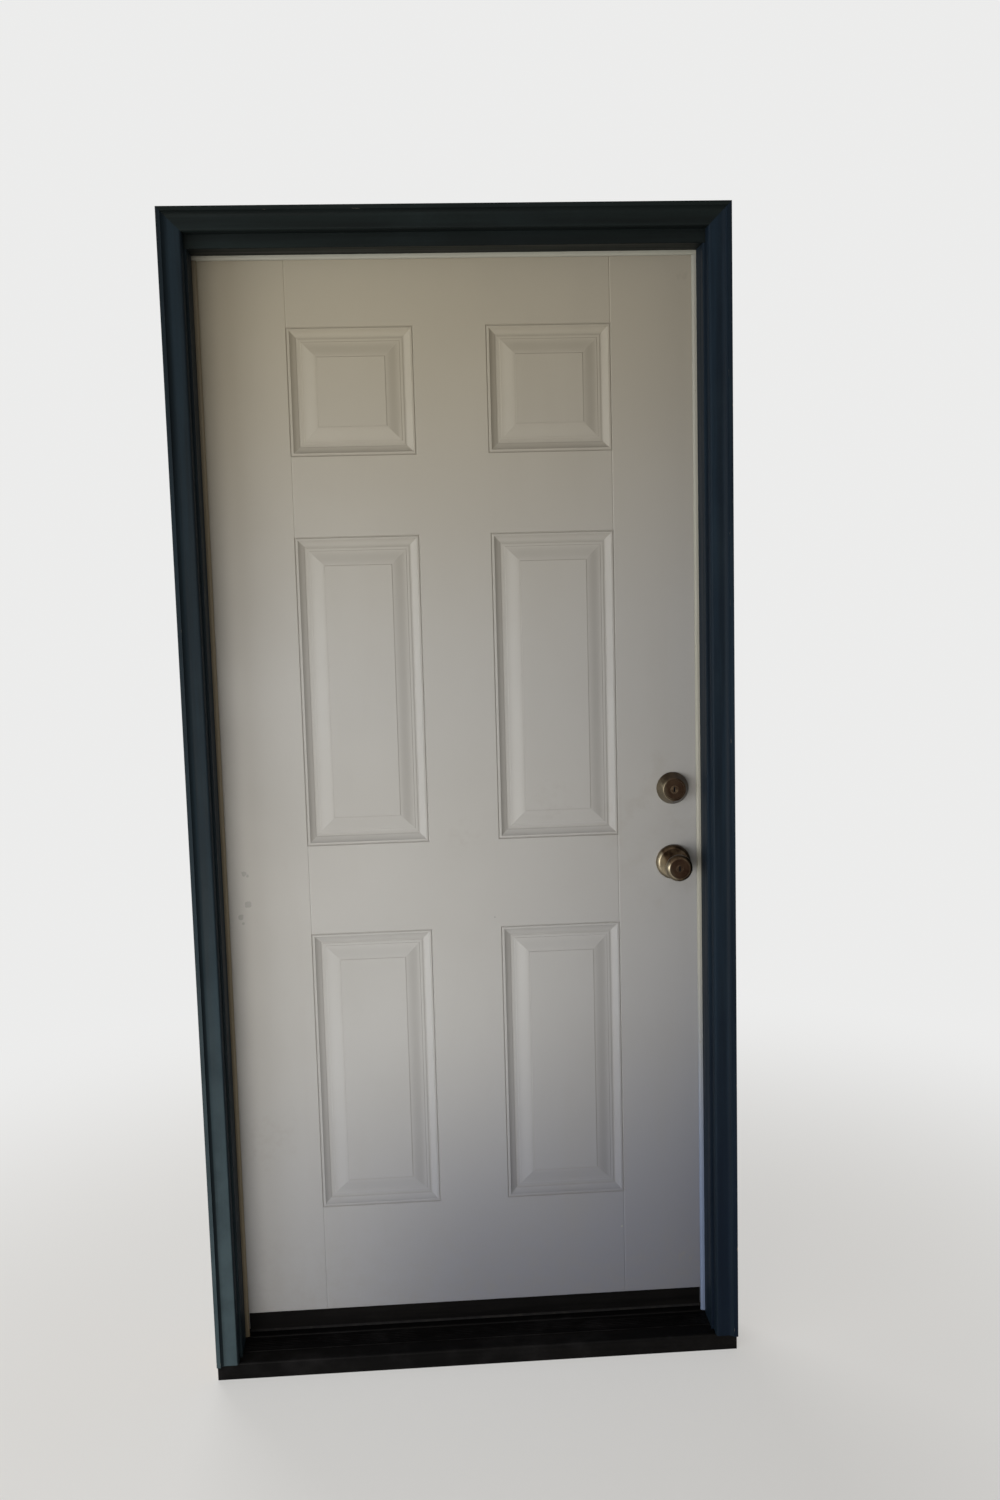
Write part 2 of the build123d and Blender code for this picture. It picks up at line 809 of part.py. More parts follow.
with BuildPart() as relief:
    for panel_z, panel_height in panel_rows:
        for side in (-1, 1):
            with Locations((panel_shift + side * panel_x, face_y, panel_z)):
                add(panel_cutter(panel_width, panel_height))
    with BuildSketch(Plane.XY.offset(slab_bottom - skin_thickness)):
        for side in (-1, 1):
            line_x = panel_shift + side * (panel_x + panel_width / 2)
            with BuildLine():
                Polyline(
                    (line_x - stile_line_half_width, face_y - skin_thickness),
                    (line_x - stile_line_half_width, face_y),
                    (line_x, face_y + stile_line_depth),
                    (line_x + stile_line_half_width, face_y),
                    (line_x + stile_line_half_width, face_y - skin_thickness),
                    close=True,
                )
            make_face()
    extrude(amount=slab_height + 2 * skin_thickness)

back_relief = relief.part.moved(Location((0, skin_thickness, 0)))
leaf_middle = Plane(origin=(0, middle_y, 0), z_dir=(0, 1, 0))

with BuildPart() as backing:
    low = (-slab_width, face_y + skin_thickness, slab_bottom - stile_width)
    high = (slab_width, face_y + 2 * relief_room, slab_top + stile_width)
    box_between(low, high)
    add(back_relief, mode=Mode.SUBTRACT)

with BuildPart() as skin_blank:
    low = (-half_slab, face_y, slab_bottom)
    high = (half_slab, face_y + relief_room, slab_top)
    box_between(low, high)
    add(relief.part, mode=Mode.SUBTRACT)
    add(backing.part, mode=Mode.SUBTRACT)


def cut_cross_bores():
    """The two round holes through the leaf for the locks."""
    for height in (knob_height, deadbolt_height):
        cross_bar(lock_x, height, face_y - rose_height, inside_y + rose_height, cross_bore_radius)


def cut_hinge_mortises():
    """Room for the hinge leaves in the leaf's edge."""
    for height in hinge_places.values():
        leaf_slab(-half_slab, height, Mode.SUBTRACT)


with BuildPart() as outer_skin:
    add(skin_blank.part)
    cut_cross_bores()
keep(outer_skin, "outer_skin")

with BuildPart() as inner_skin:
    mirror(skin_blank.part, about=leaf_middle)
    cut_cross_bores()
    cut_hinge_mortises()
keep(inner_skin, "inner_skin")

# Leaf's edge frame, block and core, between the skins
core_front_y = face_y + skin_thickness
core_back_y = inside_y - skin_thickness
core_x = half_slab - stile_width
block_x = core_x - lock_block_width
block_low = knob_height - lock_block_margin
block_high = deadbolt_height + lock_block_margin


def cut_relief():
    """What the two skins press into what lies between them."""
    add(back_relief, mode=Mode.SUBTRACT)
    mirror(back_relief, about=leaf_middle, mode=Mode.SUBTRACT)


with BuildPart() as hinge_stile:
    box_between((-half_slab, core_front_y, slab_bottom), (-core_x, core_back_y, slab_top))
    cut_hinge_mortises()
    screws(door_hinge_screw_places, (1, 0, 0), wood_screw_length, screw_play, Mode.SUBTRACT)
keep(hinge_stile, "hinge_stile")


def faceplate_outline(height):
    """Faceplate with round corners, seen along X."""
    with BuildSketch(Plane.YZ.offset(case_front)) as outline:
        with Locations((middle_y, height)):
            RectangleRounded(faceplate_width, faceplate_height, faceplate_round)
    return outline.sketch


with BuildPart() as lock_stile:
    box_between((core_x, core_front_y, slab_bottom), (half_slab, core_back_y, slab_top))
    for height in (knob_height, deadbolt_height):
        edge_bore(height, core_x, half_slab, edge_bore_radius)
        extrude(faceplate_outline(height), amount=faceplate_thickness, mode=Mode.SUBTRACT)
    screws(faceplate_screw_places, (-1, 0, 0), wood_screw_length, screw_play, Mode.SUBTRACT)
keep(lock_stile, "lock_stile")

with BuildPart() as top_rail:
    box_between((-core_x, core_front_y, slab_top - rail_height), (core_x, core_back_y, slab_top))
    cut_relief()
keep(top_rail, "top_rail")

with BuildPart() as bottom_rail:
    box_between((-core_x, core_front_y, slab_bottom), (core_x, core_back_y, slab_bottom + rail_height))
    cut_relief()
keep(bottom_rail, "bottom_rail")

with BuildPart() as lock_block:
    box_between((block_x, core_front_y, block_low), (core_x, core_back_y, block_high))
    cut_cross_bores()
    for height in (knob_height, deadbolt_height):
        edge_bore(height, lock_x, core_x, edge_bore_radius)
keep(lock_block, "lock_block")

with BuildPart() as foam_core:
    low = (-core_x, core_front_y, slab_bottom + rail_height)
    high = (core_x, core_back_y, slab_top - rail_height)
    box_between(low, high)
    low = (block_x, core_front_y, block_low)
    high = (core_x, core_back_y, block_high)
    box_between(low, high, Mode.SUBTRACT)
    cut_relief()
keep(foam_core, "foam_core")

# Seal under the leaf
shoe_top = shoe_bottom + shoe_leg
with BuildPart() as door_shoe:
    shoe_x = half_slab - shoe_end_gap
    face_leg_x = stop_x - strip_proud - shoe_play
    shoe_back_y = inside_y + shoe_wall
    box_between((-shoe_x, face_y, shoe_bottom), (shoe_x, shoe_back_y, slab_bottom))
    box_between((-shoe_x, inside_y, shoe_bottom), (shoe_x, shoe_back_y, shoe_top))
    box_between((-face_leg_x, face_y - shoe_wall, shoe_bottom), (face_leg_x, face_y, shoe_top))
keep(door_shoe, "door_shoe")

with BuildPart() as shoe_fins:
    fin_low = cap_height + strip_play
    web_half = ((fin_count - 1) * fin_spacing + fin_thickness) / 2
    web_low = (-shoe_x, middle_y - web_half, shoe_bottom - fin_web)
    box_between(web_low, (shoe_x, middle_y + web_half, shoe_bottom))
    with Locations((0, middle_y, (fin_low + shoe_bottom) / 2)):
        with GridLocations(1, fin_spacing, 1, fin_count):
            Box(2 * shoe_x, fin_thickness, shoe_bottom - fin_low)
keep(shoe_fins, "shoe_fins")


# Lock cases
def case_space(height, disc_radius, inset, mode=Mode.ADD):
    """Tube from the leaf's edge joined to a flat round box about the hub."""
    edge_bore(height, lock_x + tube_overlap + inset, case_front + inset, case_radius - inset, mode)
    side_plane = Plane(
        origin=(lock_x, middle_y - case_half_depth + inset, height),
        x_dir=(1, 0, 0),
        z_dir=(0, 1, 0),
    )
    with BuildSketch(side_plane) as disc:
        Circle(disc_radius - inset)
        with Locations((0, inset - case_top - disc_radius)):
            Rectangle(2 * disc_radius, 2 * disc_radius, mode=Mode.SUBTRACT)
    extrude(disc.sketch, amount=2 * (case_half_depth - inset), mode=mode)


def lock_case(height, disc_radius):
    """Hollow case with round holes for the hub."""
    case_space(height, disc_radius, 0.0)
    case_space(height, disc_radius, case_wall, Mode.SUBTRACT)
    cross_bar(lock_x, height, face_y, inside_y, hub_radius + hub_play)


with BuildPart() as latch_case:
    lock_case(knob_height, latch_disc_radius)
keep(latch_case, "latch_case")

with BuildPart() as deadbolt_case:
    lock_case(deadbolt_height, deadbolt_disc_radius)
keep(deadbolt_case, "deadbolt_case")


def faceplate(height, half_height):
    """Plate in the leaf's edge with the bolt's window."""
    extrude(faceplate_outline(height), amount=faceplate_thickness)
    room_y = bolt_half_width + bolt_play
    room_z = half_height + bolt_play
    low = (case_front - bolt_play, middle_y - room_y, height - room_z)
    high = (half_slab + bolt_play, middle_y + room_y, height + room_z)
    box_between(low, high, Mode.SUBTRACT)
    screws(faceplate_screw_places, (-1, 0, 0), wood_screw_length, screw_play, Mode.SUBTRACT)


with BuildPart() as latch_faceplate:
    faceplate(knob_height, latch_half_height)
keep(latch_faceplate, "latch_faceplate")

with BuildPart() as deadbolt_faceplate:
    faceplate(deadbolt_height, deadbolt_half_height)
keep(deadbolt_faceplate, "deadbolt_faceplate")

with BuildPart() as faceplate_screws:
    screws(faceplate_screw_places, (-1, 0, 0), wood_screw_length)
keep(faceplate_screws, "faceplate_screws")


# Bolts and the cams that draw them
def bolt_tail(height, pin_shift, reach, slot_play, bar_end):
    """Flat bar to the hub, with an upright slot for the cam's pin."""
    half_slot = cam_pin_radius + slot_play
    half_ear = half_slot + ear_wall
    slot_low = -(reach + cam_pin_radius + slot_end_play)
    ear_low = slot_low - ear_floor
    side_plane = Plane(
        origin=(lock_x, middle_y + tail_back, height),
        x_dir=(1, 0, 0),
        z_dir=(0, -1, 0),
    )
    with BuildSketch(side_plane) as tail:
        with Locations((pin_shift, (ear_low + tail_high) / 2)):
            Rectangle(2 * half_ear, tail_high - ear_low)
        chamfer(tail.vertices().group_by(Axis.Y)[0], ear_chamfer)
        with Locations((pin_shift, tail_low)):
            Rectangle(bar_end - pin_shift, tail_high - tail_low, align=Align.MIN)
        with Locations((pin_shift, (slot_low + tail_low) / 2)):
            Rectangle(2 * half_slot, tail_low - slot_low, mode=Mode.SUBTRACT)
    extrude(tail.sketch, amount=tail_back - tail_front)


def lock_cam(height, reach, angle, hole_width, hole_height):
    """Hub with an arm; the angle is from straight down towards the leaf's edge."""
    hub_half = case_half_depth + hub_overhang
    cross_bar(lock_x, height, middle_y - hub_half, middle_y + hub_half, hub_radius, Mode.ADD)
    side_plane = Plane(
        origin=(lock_x, middle_y + cam_half_depth, height),
        x_dir=(1, 0, 0),
        z_dir=(0, -1, 0),
    )
    arm_x = reach * sin(radians(angle))
    arm_z = -reach * cos(radians(angle))
    with BuildSketch(side_plane) as arm:
        with Locations((arm_x / 2, arm_z / 2)):
            SlotCenterToCenter(reach, cam_arm_width, rotation=angle - 90)
    extrude(arm.sketch, amount=2 * cam_half_depth)
    pin_end = middle_y + tail_back + cam_pin_overhang
    cross_bar(lock_x + arm_x, height + arm_z, middle_y, pin_end, cam_pin_radius, Mode.ADD)
    with Locations((lock_x, middle_y, height)):
        Box(hole_width, 4 * hub_half, hole_height, mode=Mode.SUBTRACT)


latch_pin_shift = latch_cam_reach * sin(radians(latch_half_turn))
deadbolt_pin_shift = -deadbolt_cam_reach * sin(radians(deadbolt_half_turn))
latch_rear = half_slab - latch_body_length
latch_front = half_slab + latch_throw
deadbolt_front = half_slab - deadbolt_set_back
deadbolt_rear = deadbolt_front - deadbolt_body_length

with BuildPart() as latch_bolt:
    with BuildSketch(Plane.XY.offset(knob_height - latch_half_height)):
        with BuildLine():
            Polyline(
                (latch_rear, middle_y - bolt_half_width),
                (half_slab + bolt_play, middle_y - bolt_half_width),
                (latch_front, middle_y + latch_tip),
                (latch_front, middle_y + bolt_half_width),
                (latch_rear, middle_y + bolt_half_width),
                close=True,
            )
        make_face()
    extrude(amount=2 * latch_half_height)
    bar_end = latch_rear - lock_x + tail_joint
    bolt_tail(knob_height, latch_pin_shift, latch_cam_reach, latch_slot_play, bar_end)
keep(latch_bolt, "latch_bolt")

with BuildPart() as deadbolt_bolt:
    low = (deadbolt_rear, middle_y - bolt_half_width, deadbolt_height - deadbolt_half_height)
    high = (deadbolt_front, middle_y + bolt_half_width, deadbolt_height + deadbolt_half_height)
    box_between(low, high)
    chamfer(deadbolt_bolt.faces().sort_by(Axis.X)[-1].edges(), bolt_chamfer)
    bar_end = deadbolt_rear - lock_x + tail_joint
    bolt_tail(
        deadbolt_height, deadbolt_pin_shift, deadbolt_cam_reach, deadbolt_slot_play, bar_end
    )
keep(deadbolt_bolt, "deadbolt_bolt")

spindle_hole = spindle_width + 2 * spindle_play
with BuildPart() as latch_cam:
    lock_cam(knob_height, latch_cam_reach, latch_half_turn, spindle_hole, spindle_hole)
keep(latch_cam, "latch_cam")

tail_hole_width = tailpiece_width + 2 * spindle_play
tail_hole_thickness = tailpiece_thickness + 2 * spindle_play
with BuildPart() as deadbolt_cam:
    lock_cam(
        deadbolt_height,
        deadbolt_cam_reach,
        -deadbolt_half_turn,
        tail_hole_thickness,
        tail_hole_width,
    )
keep(deadbolt_cam, "deadbolt_cam")


# Trim on both faces; local X is the radius and local Y runs out from the leaf
def outside_trim(height):
    return Plane(origin=(lock_x, face_y, height), x_dir=(1, 0, 0), z_dir=(0, 0, -1))


def inside_trim(height):
    return Plane(origin=(lock_x, inside_y, height), x_dir=(1, 0, 0), z_dir=(0, 0, 1))


def turn(section, plane):
    """Revolve a half section about the lock's axis."""
    revolve(section.sketch, axis=Axis(plane.origin, plane.y_dir))


def cover(plane, radius, height, hole):
    """Hollow round cover plate with a round shoulder and a flat top."""
    with BuildSketch(plane) as section:
        with BuildLine():
            Line((radius - cover_wall, 0), (radius, 0))
            Line((radius, 0), (radius, cover_rim))
            TangentArc((radius, cover_rim), (cover_flat_radius, height), tangent=(0, 1))
            Polyline(
                (cover_flat_radius, height),
                (hole, height),
                (hole, height - cover_wall),
                (cover_flat_radius, height - cover_wall),
            )
            TangentArc(
                (radius - cover_wall, cover_rim),
                (cover_flat_radius, height - cover_wall),
                tangent=(0, 1),
            )
            Line((radius - cover_wall, cover_rim), (radius - cover_wall, 0))
        make_face()
    turn(section, plane)


def mount_places(y, height):
    """The two mounting screws above the lock's axis."""
    return [(lock_x + side * mount_screw_x, y, height + mount_screw_z) for side in (-1, 1)]


def mount_posts(start_y, height, screw_face_y, screw_length):
    """Posts on the outside trim that take the mounting screws."""
    for x, y, z in mount_places(start_y, height):
        cross_bar(x, z, y, middle_y, mount_post_radius, Mode.ADD)
    places = mount_places(screw_face_y, height)
    screws(places, (0, -1, 0), screw_length, screw_play, Mode.SUBTRACT)


knob_screw_y = inside_y + rose_height
knob_screw_length = knob_screw_y - middle_y + mount_screw_grip
deadbolt_screw_y = inside_y + plate_height
deadbolt_screw_length = deadbolt_screw_y - middle_y + mount_screw_grip

with BuildPart() as outer_rose:
    cover(outside_trim(knob_height), rose_radius, rose_height, shank_radius + shank_play)
    post_start = face_y - rose_height + cover_wall
    mount_posts(post_start, knob_height, knob_screw_y, knob_screw_length)
keep(outer_rose, "outer_rose")

with BuildPart() as inner_rose:
    cover(inside_trim(knob_height), rose_radius, rose_height, shank_radius + shank_play)
    places = mount_places(knob_screw_y, knob_height)
    screws(places, (0, -1, 0), knob_screw_length, screw_play, Mode.SUBTRACT)
keep(inner_rose, "inner_rose")

with BuildPart() as knob_screws:
    screws(mount_places(knob_screw_y, knob_height), (0, -1, 0), knob_screw_length)
keep(knob_screws, "knob_screws")


def knob_body(plane):
    """Knob with a round shank, a flared body and a sunk face."""
    face = knob_front - knob_face_sink
    with BuildSketch(plane) as section:
        with BuildLine():
            Polyline((0, face), (0, -shank_depth), (shank_radius, -shank_depth))
            Line((shank_radius, -shank_depth), (shank_radius, flare_start))
            TangentArc((shank_radius, flare_start), (knob_radius, flare_end), tangent=(0, 1))
            RadiusArc((knob_radius, flare_end), (knob_rim_radius, knob_front), -shoulder_radius)
            Polyline(
                (knob_rim_radius, knob_front),
                (knob_face_radius, knob_front),
                (knob_face_radius, face),
                (0, face),
            )
        make_face()
    turn(section, plane)


def spindle_box(play, mode=Mode.ADD):
    """Square spindle through the leaf, or with play the sockets for it."""
    width = spindle_width + 2 * play
    length = slab_thickness + 2 * (spindle_reach + play)
    with Locations((lock_x, middle_y, knob_height)):
        Box(width, length, width, mode=mode)


knob_face_y = face_y - knob_front + knob_face_sink
button_face_y = inside_y + knob_front - knob_face_sink

with BuildPart() as outer_knob:
    knob_body(outside_trim(knob_height))
    spindle_box(spindle_play, Mode.SUBTRACT)
    plug_end = knob_face_y + plug_length
    cross_bar(lock_x, knob_height, knob_face_y - plug_play, plug_end, plug_radius + plug_play)
keep(outer_knob, "outer_knob")

with BuildPart() as inner_knob:
    knob_body(inside_trim(knob_height))
    spindle_box(spindle_play, Mode.SUBTRACT)
    stem_start = button_face_y - button_stem_length
    stem_bore = button_stem_radius + plug_play
    cross_bar(lock_x, knob_height, stem_start, button_face_y + plug_play, stem_bore)
keep(inner_knob, "inner_knob")

with BuildPart() as knob_spindle:
    spindle_box(0.0)
keep(knob_spindle, "knob_spindle")


def keyway(front_y, height):
    """Upright slot for the key."""
    with Locations((lock_x, front_y, height)):
        Box(keyway_width, 2 * keyway_depth, keyway_height, mode=Mode.SUBTRACT)


with BuildPart() as knob_plug:
    plug_end = knob_face_y + plug_length - plug_play
    cross_bar(lock_x, knob_height, knob_face_y, plug_end, plug_radius, Mode.ADD)
    keyway(knob_face_y, knob_height)
keep(knob_plug, "knob_plug")

with BuildPart() as turn_button:
    stem_start = button_face_y - button_stem_length + plug_play
    stem_end = button_face_y + turn_gap
    cross_bar(lock_x, knob_height, stem_start, stem_end, button_stem_radius, Mode.ADD)
    with Locations((lock_x, stem_end + button_height / 2, knob_height)):
        Box(button_width, button_height, button_thickness)
    fillet(turn_button.edges().filter_by(Axis.Z).sort_by(Axis.Y)[-2:], turn_round)
keep(turn_button, "turn_button")

# Deadbolt's trim
with BuildPart() as deadbolt_housing:
    housing_plane = outside_trim(deadbolt_height)
    bore = cylinder_radius + cylinder_play
    with BuildSketch(housing_plane) as section:
        with BuildLine():
            Polyline(
                (bore, 0),
                (housing_radius, 0),
                (housing_radius, housing_rim),
                (housing_front_radius, housing_height - housing_chamfer),
                (housing_front_radius - housing_chamfer, housing_height),
                (bore, housing_height),
                close=True,
            )
        make_face()
    turn(section, housing_plane)
    mount_posts(face_y, deadbolt_height, deadbolt_screw_y, deadbolt_screw_length)
keep(deadbolt_housing, "deadbolt_housing")

cylinder_face_y = face_y - housing_height + cylinder_sink
with BuildPart() as deadbolt_cylinder:
    cylinder_end = face_y + cylinder_reach
    cross_bar(lock_x, deadbolt_height, cylinder_face_y, cylinder_end, cylinder_radius, Mode.ADD)
    plug_bore = deadbolt_plug_radius + plug_play
    cross_bar(lock_x, deadbolt_height, cylinder_face_y, cylinder_end, plug_bore)
keep(deadbolt_cylinder, "deadbolt_cylinder")

plug_end = face_y + deadbolt_plug_reach
tail_start = plug_end - tailpiece_grip
tail_end = inside_y + plate_height
with BuildPart() as deadbolt_tailpiece:
    low = (-tailpiece_thickness / 2, tail_start, -tailpiece_width / 2)
    high = (tailpiece_thickness / 2, tail_end, tailpiece_width / 2)
    shift = (lock_x, 0, deadbolt_height)
    box_between([a + b for a, b in zip(low, shift)], [a + b for a, b in zip(high, shift)])
keep(deadbolt_tailpiece, "deadbolt_tailpiece")


def tailpiece_slot(start, end):
    """Slot that the tailpiece fits."""
    with Locations((lock_x, (start + end) / 2, deadbolt_height)):
        Box(tail_hole_thickness, end - start, tail_hole_width, mode=Mode.SUBTRACT)


with BuildPart() as deadbolt_plug:
    cross_bar(
        lock_x, deadbolt_height, cylinder_face_y, plug_end, deadbolt_plug_radius, Mode.ADD
    )
    keyway(cylinder_face_y, deadbolt_height)
    tailpiece_slot(tail_start, plug_end)
keep(deadbolt_plug, "deadbolt_plug")

with BuildPart() as deadbolt_plate:
    cover(inside_trim(deadbolt_height), plate_radius, plate_height, stem_radius + shank_play)
    places = mount_places(deadbolt_screw_y, deadbolt_height)
    screws(places, (0, -1, 0), deadbolt_screw_length, screw_play, Mode.SUBTRACT)
keep(deadbolt_plate, "deadbolt_plate")

with BuildPart() as deadbolt_screws:
    screws(mount_places(deadbolt_screw_y, deadbolt_height), (0, -1, 0), deadbolt_screw_length)
keep(deadbolt_screws, "deadbolt_screws")

with BuildPart() as thumb_turn:
    stem_start = inside_y + stem_depth
    stem_end = inside_y + plate_height + turn_gap
    cross_bar(lock_x, deadbolt_height, stem_start, stem_end, stem_radius, Mode.ADD)
    with BuildSketch(Plane.YZ.offset(lock_x - turn_thickness / 2)):
        with Locations((stem_end + turn_height / 2, deadbolt_height)):
            Trapezoid(turn_width, turn_height, turn_slope, rotation=-90)
    extrude(amount=turn_thickness)
    tailpiece_slot(stem_start, tail_end)
keep(thumb_turn, "thumb_turn")
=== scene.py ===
from math import radians

import bmesh
import bpy
from mathutils import Matrix, Vector


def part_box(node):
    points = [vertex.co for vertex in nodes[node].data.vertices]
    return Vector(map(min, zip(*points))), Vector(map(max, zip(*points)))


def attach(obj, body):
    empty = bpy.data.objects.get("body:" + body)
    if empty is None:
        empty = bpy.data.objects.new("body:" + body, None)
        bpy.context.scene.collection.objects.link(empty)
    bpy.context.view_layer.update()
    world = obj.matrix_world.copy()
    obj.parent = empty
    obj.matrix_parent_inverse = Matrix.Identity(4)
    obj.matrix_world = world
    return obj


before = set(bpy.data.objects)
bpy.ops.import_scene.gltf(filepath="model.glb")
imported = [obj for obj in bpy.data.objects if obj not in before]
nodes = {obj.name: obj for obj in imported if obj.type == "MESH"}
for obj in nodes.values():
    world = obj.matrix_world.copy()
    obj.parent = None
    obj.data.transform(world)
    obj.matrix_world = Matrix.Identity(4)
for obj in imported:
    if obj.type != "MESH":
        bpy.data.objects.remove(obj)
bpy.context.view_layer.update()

# Places of the door, read from the frame, in metres
leaf_low, leaf_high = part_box("outer_skin")
casing_low, casing_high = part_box("hinge_casing")
rose_low, rose_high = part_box("outer_rose")
knob_x = (rose_low.x + rose_high.x) / 2
knob_z = (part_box("outer_knob")[0].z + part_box("outer_knob")[1].z) / 2
deadbolt_z = (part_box("deadbolt_plug")[0].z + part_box("deadbolt_plug")[1].z) / 2
leaf_middle = (leaf_low.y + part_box("inner_skin")[1].y) / 2
knob_reach = leaf_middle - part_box("knob_plug")[0].y
inside_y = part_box("inner_skin")[1].y
cap_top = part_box("sill_cap_screws")[1].z
half_casing = -casing_low.x
casing_top = casing_high.z
half_jamb = -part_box("hinge_jamb")[0].x
jamb_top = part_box("head_jamb")[1].z
casing_back = casing_high.y

# Panels of the leaf, to the middle of the groove round each: X of the two columns, half
# their width, and Z and half the height of the three rows. The bevel dips and swells by
# about a tenth of bevel_ogee either way.
panel_columns = (-0.17475, 0.17825)
panel_half_width = 0.1109
panel_rows = ((0.5506, 0.2646), (1.2634, 0.2800), (1.7989, 0.1110))
valley_inset = 0.0170
bevel_start = 0.0241
bevel_width = 0.0259
bevel_ogee = 0.0048
field_edge = bevel_start + bevel_width

# Dirt and painted shade in the folds of a panel, the line at the field's edge being painted shade
# of its step: how far in each line lies, the half widths where it starts and stops fading, and its
# strength
fold_dirt_and_shade_lines = (
    (0.0, 0.0004, 0.0024, 0.25),
    (valley_inset, 0.001, 0.004, 0.14),
    (field_edge, 0.0003, 0.002, 0.12),
)

# How far the leaf's lower white, its warmer, darker top (partly painted shade) and its splashed
# foot reach
white_reach = 1.15
yellow_reach = 0.85
splash_reach = 0.30

# Screw heads: places along their plates, and the crossed recess in each
hinge_screw_rows = ((-0.025, 0.034), (-0.013, 0.0), (-0.025, -0.034))
plate_screw_rise = 0.02065
trim_screw_side = 0.015
trim_screw_rise = 0.017
cap_screw_count = 4
cap_screw_inset = 0.067
cap_screw_offset = 0.005
recess_reach = 0.0024
recess_sink = 0.0004
recess_lift = 0.00006
recess_round = 0.00025

# Round faces of knob and deadbolt, and how far the painted shade reaches each way round a keyway:
# solid up to the first distance and gone at the second
knob_face_radius = 0.0187
housing_face_radius = 0.0204
face_depth = (0.0006, 0.0002)
keyway_across = (0.0012, 0.0021)
keyway_upright = (0.0040, 0.0056)

# Paint of the frame: how squarely a face has to look forward or back to count as a front
# or a back, and how far before the hidden face the bare wood starts to show and is clear
looks_front = (0.85, 0.94)
looks_back = (0.5, 0.9)
bare_wood = (0.0004, 0.0001)

# Worn edges: how well the rounded and the true normal agree on a sharp edge and off it,
# and the samples that round it
edge_agreement = (0.88, 0.98)
bevel_samples = 6

# Camera, from the lines of the frame in the photograph
photo_height = 1500
focal_pixels = 1474.5
sensor_width = 36.0
camera_place = (-0.10405, -2.6601, 1.4935)
camera_right = Vector((0.9973, -0.0688, -0.0258))
camera_down = Vector((-0.0343, -0.125, -0.9916))
camera_forward = Vector((0.065, 0.9898, -0.127))

# Colours, linear
# The leaf's top, warmer and darker: partly painted shade
door_upper = (0.338, 0.306, 0.236, 1)
door_middle_white = (0.345, 0.343, 0.336, 1)
door_lower = (0.383, 0.391, 0.405, 1)
# Cool darkening: painted shade down the lock side, and dirt with painted shade at the foot
door_cool_shade_and_dirt = (0.120, 0.130, 0.172, 1)
# Dirt and painted shade in the panel folds
groove_dirt_and_shade = (0.150, 0.138, 0.115, 1)
door_grime = (0.200, 0.185, 0.150, 1)
chip_grey = (0.235, 0.245, 0.235, 1)
teal_dark = (0.0055, 0.0092, 0.0122, 1)
teal_paint = (0.0110, 0.0195, 0.0270, 1)
teal_faded = (0.062, 0.092, 0.107, 1)
# The lock side's frame paint, bluer and darker: painted cool shade, deepest low down
navy_shade_dark = (0.0052, 0.0095, 0.0155, 1)
navy_shade_paint = (0.0105, 0.0200, 0.0320, 1)
navy_shade_low = (0.0042, 0.0085, 0.0190, 1)
# The head's frame paint, darker: partly painted shade
head_shade_dark = (0.0048, 0.0068, 0.0068, 1)
head_shade_paint = (0.0090, 0.0132, 0.0130, 1)
old_primer = (0.26, 0.24, 0.19, 1)
strip_white = (0.34, 0.335, 0.285, 1)
strip_lock_side = (0.305, 0.300, 0.262, 1)
# Towards the foot of the lock-side strip: painted bluish shade
strip_shade_low = (0.150, 0.195, 0.305, 1)
# The hinge side's strip, darker and browner: painted shade
strip_hinge_shade = (0.200, 0.170, 0.118, 1)
strip_grime = (0.20, 0.18, 0.14, 1)
bronze_dark = (0.0022, 0.0021, 0.0022, 1)
bronze_worn = (0.0050, 0.0046, 0.0044, 1)
sill_dust = (0.029, 0.028, 0.030, 1)
brass_oxide = (0.040, 0.024, 0.014, 1)
brass_brown = (0.110, 0.078, 0.048, 1)
# Worn brass, also the colour of a painted highlight
brass_worn_and_highlight = (0.50, 0.44, 0.31, 1)
brass_face = (0.021, 0.011, 0.007, 1)
steel_light = (0.30, 0.285, 0.255, 1)
steel_dark = (0.10, 0.088, 0.072, 1)
recess_dark = (0.030, 0.027, 0.023, 1)
pine_light = (0.52, 0.38, 0.22, 1)
pine_dark = (0.33, 0.20, 0.10, 1)
foam_yellow = (0.70, 0.60, 0.34, 1)
rubber_black = (0.012, 0.012, 0.013, 1)
rubber_dust = (0.022, 0.021, 0.020, 1)
floor_pale = (0.78, 0.78, 0.77, 1)
backdrop_pale = (0.84, 0.84, 0.835, 1)
warm_light = (1.0, 0.95, 0.87)
cool_light = (0.95, 0.98, 1.0)
front_light = (1.0, 0.98, 0.95)
plain_light = (1.0, 1.0, 1.0)
world_light = (1.0, 0.90, 0.76)

# Studio: each lamp's name, place, target, side, power, colour and spread in degrees, the
# level of the even light, and the floor with the radii between which it turns into backdrop
studio_lamps = (
    ("left lamp", (-3.6, -2.5, 0.7), (-0.3, 0.0, 1.25), 2.6, 31.5, cool_light, 85),
    ("low lamp", (-1.1, -2.5, 0.35), (-0.4, 0.0, 0.75), 1.2, 11.0, warm_light, 80),
    ("front lamp", (-1.4, -4.3, 2.0), (-0.3, 0.0, 1.4), 3.0, 30.0, front_light, 180),
    ("back lamp", (-1.5, 4.0, 2.6), (0.0, 0.0, 1.0), 3.0, 110.0, plain_light, 180),
)
world_level = 0.26
floor_radius = 40.0
floor_fade = (0.7, 2.4)
camera_reach = 200.0

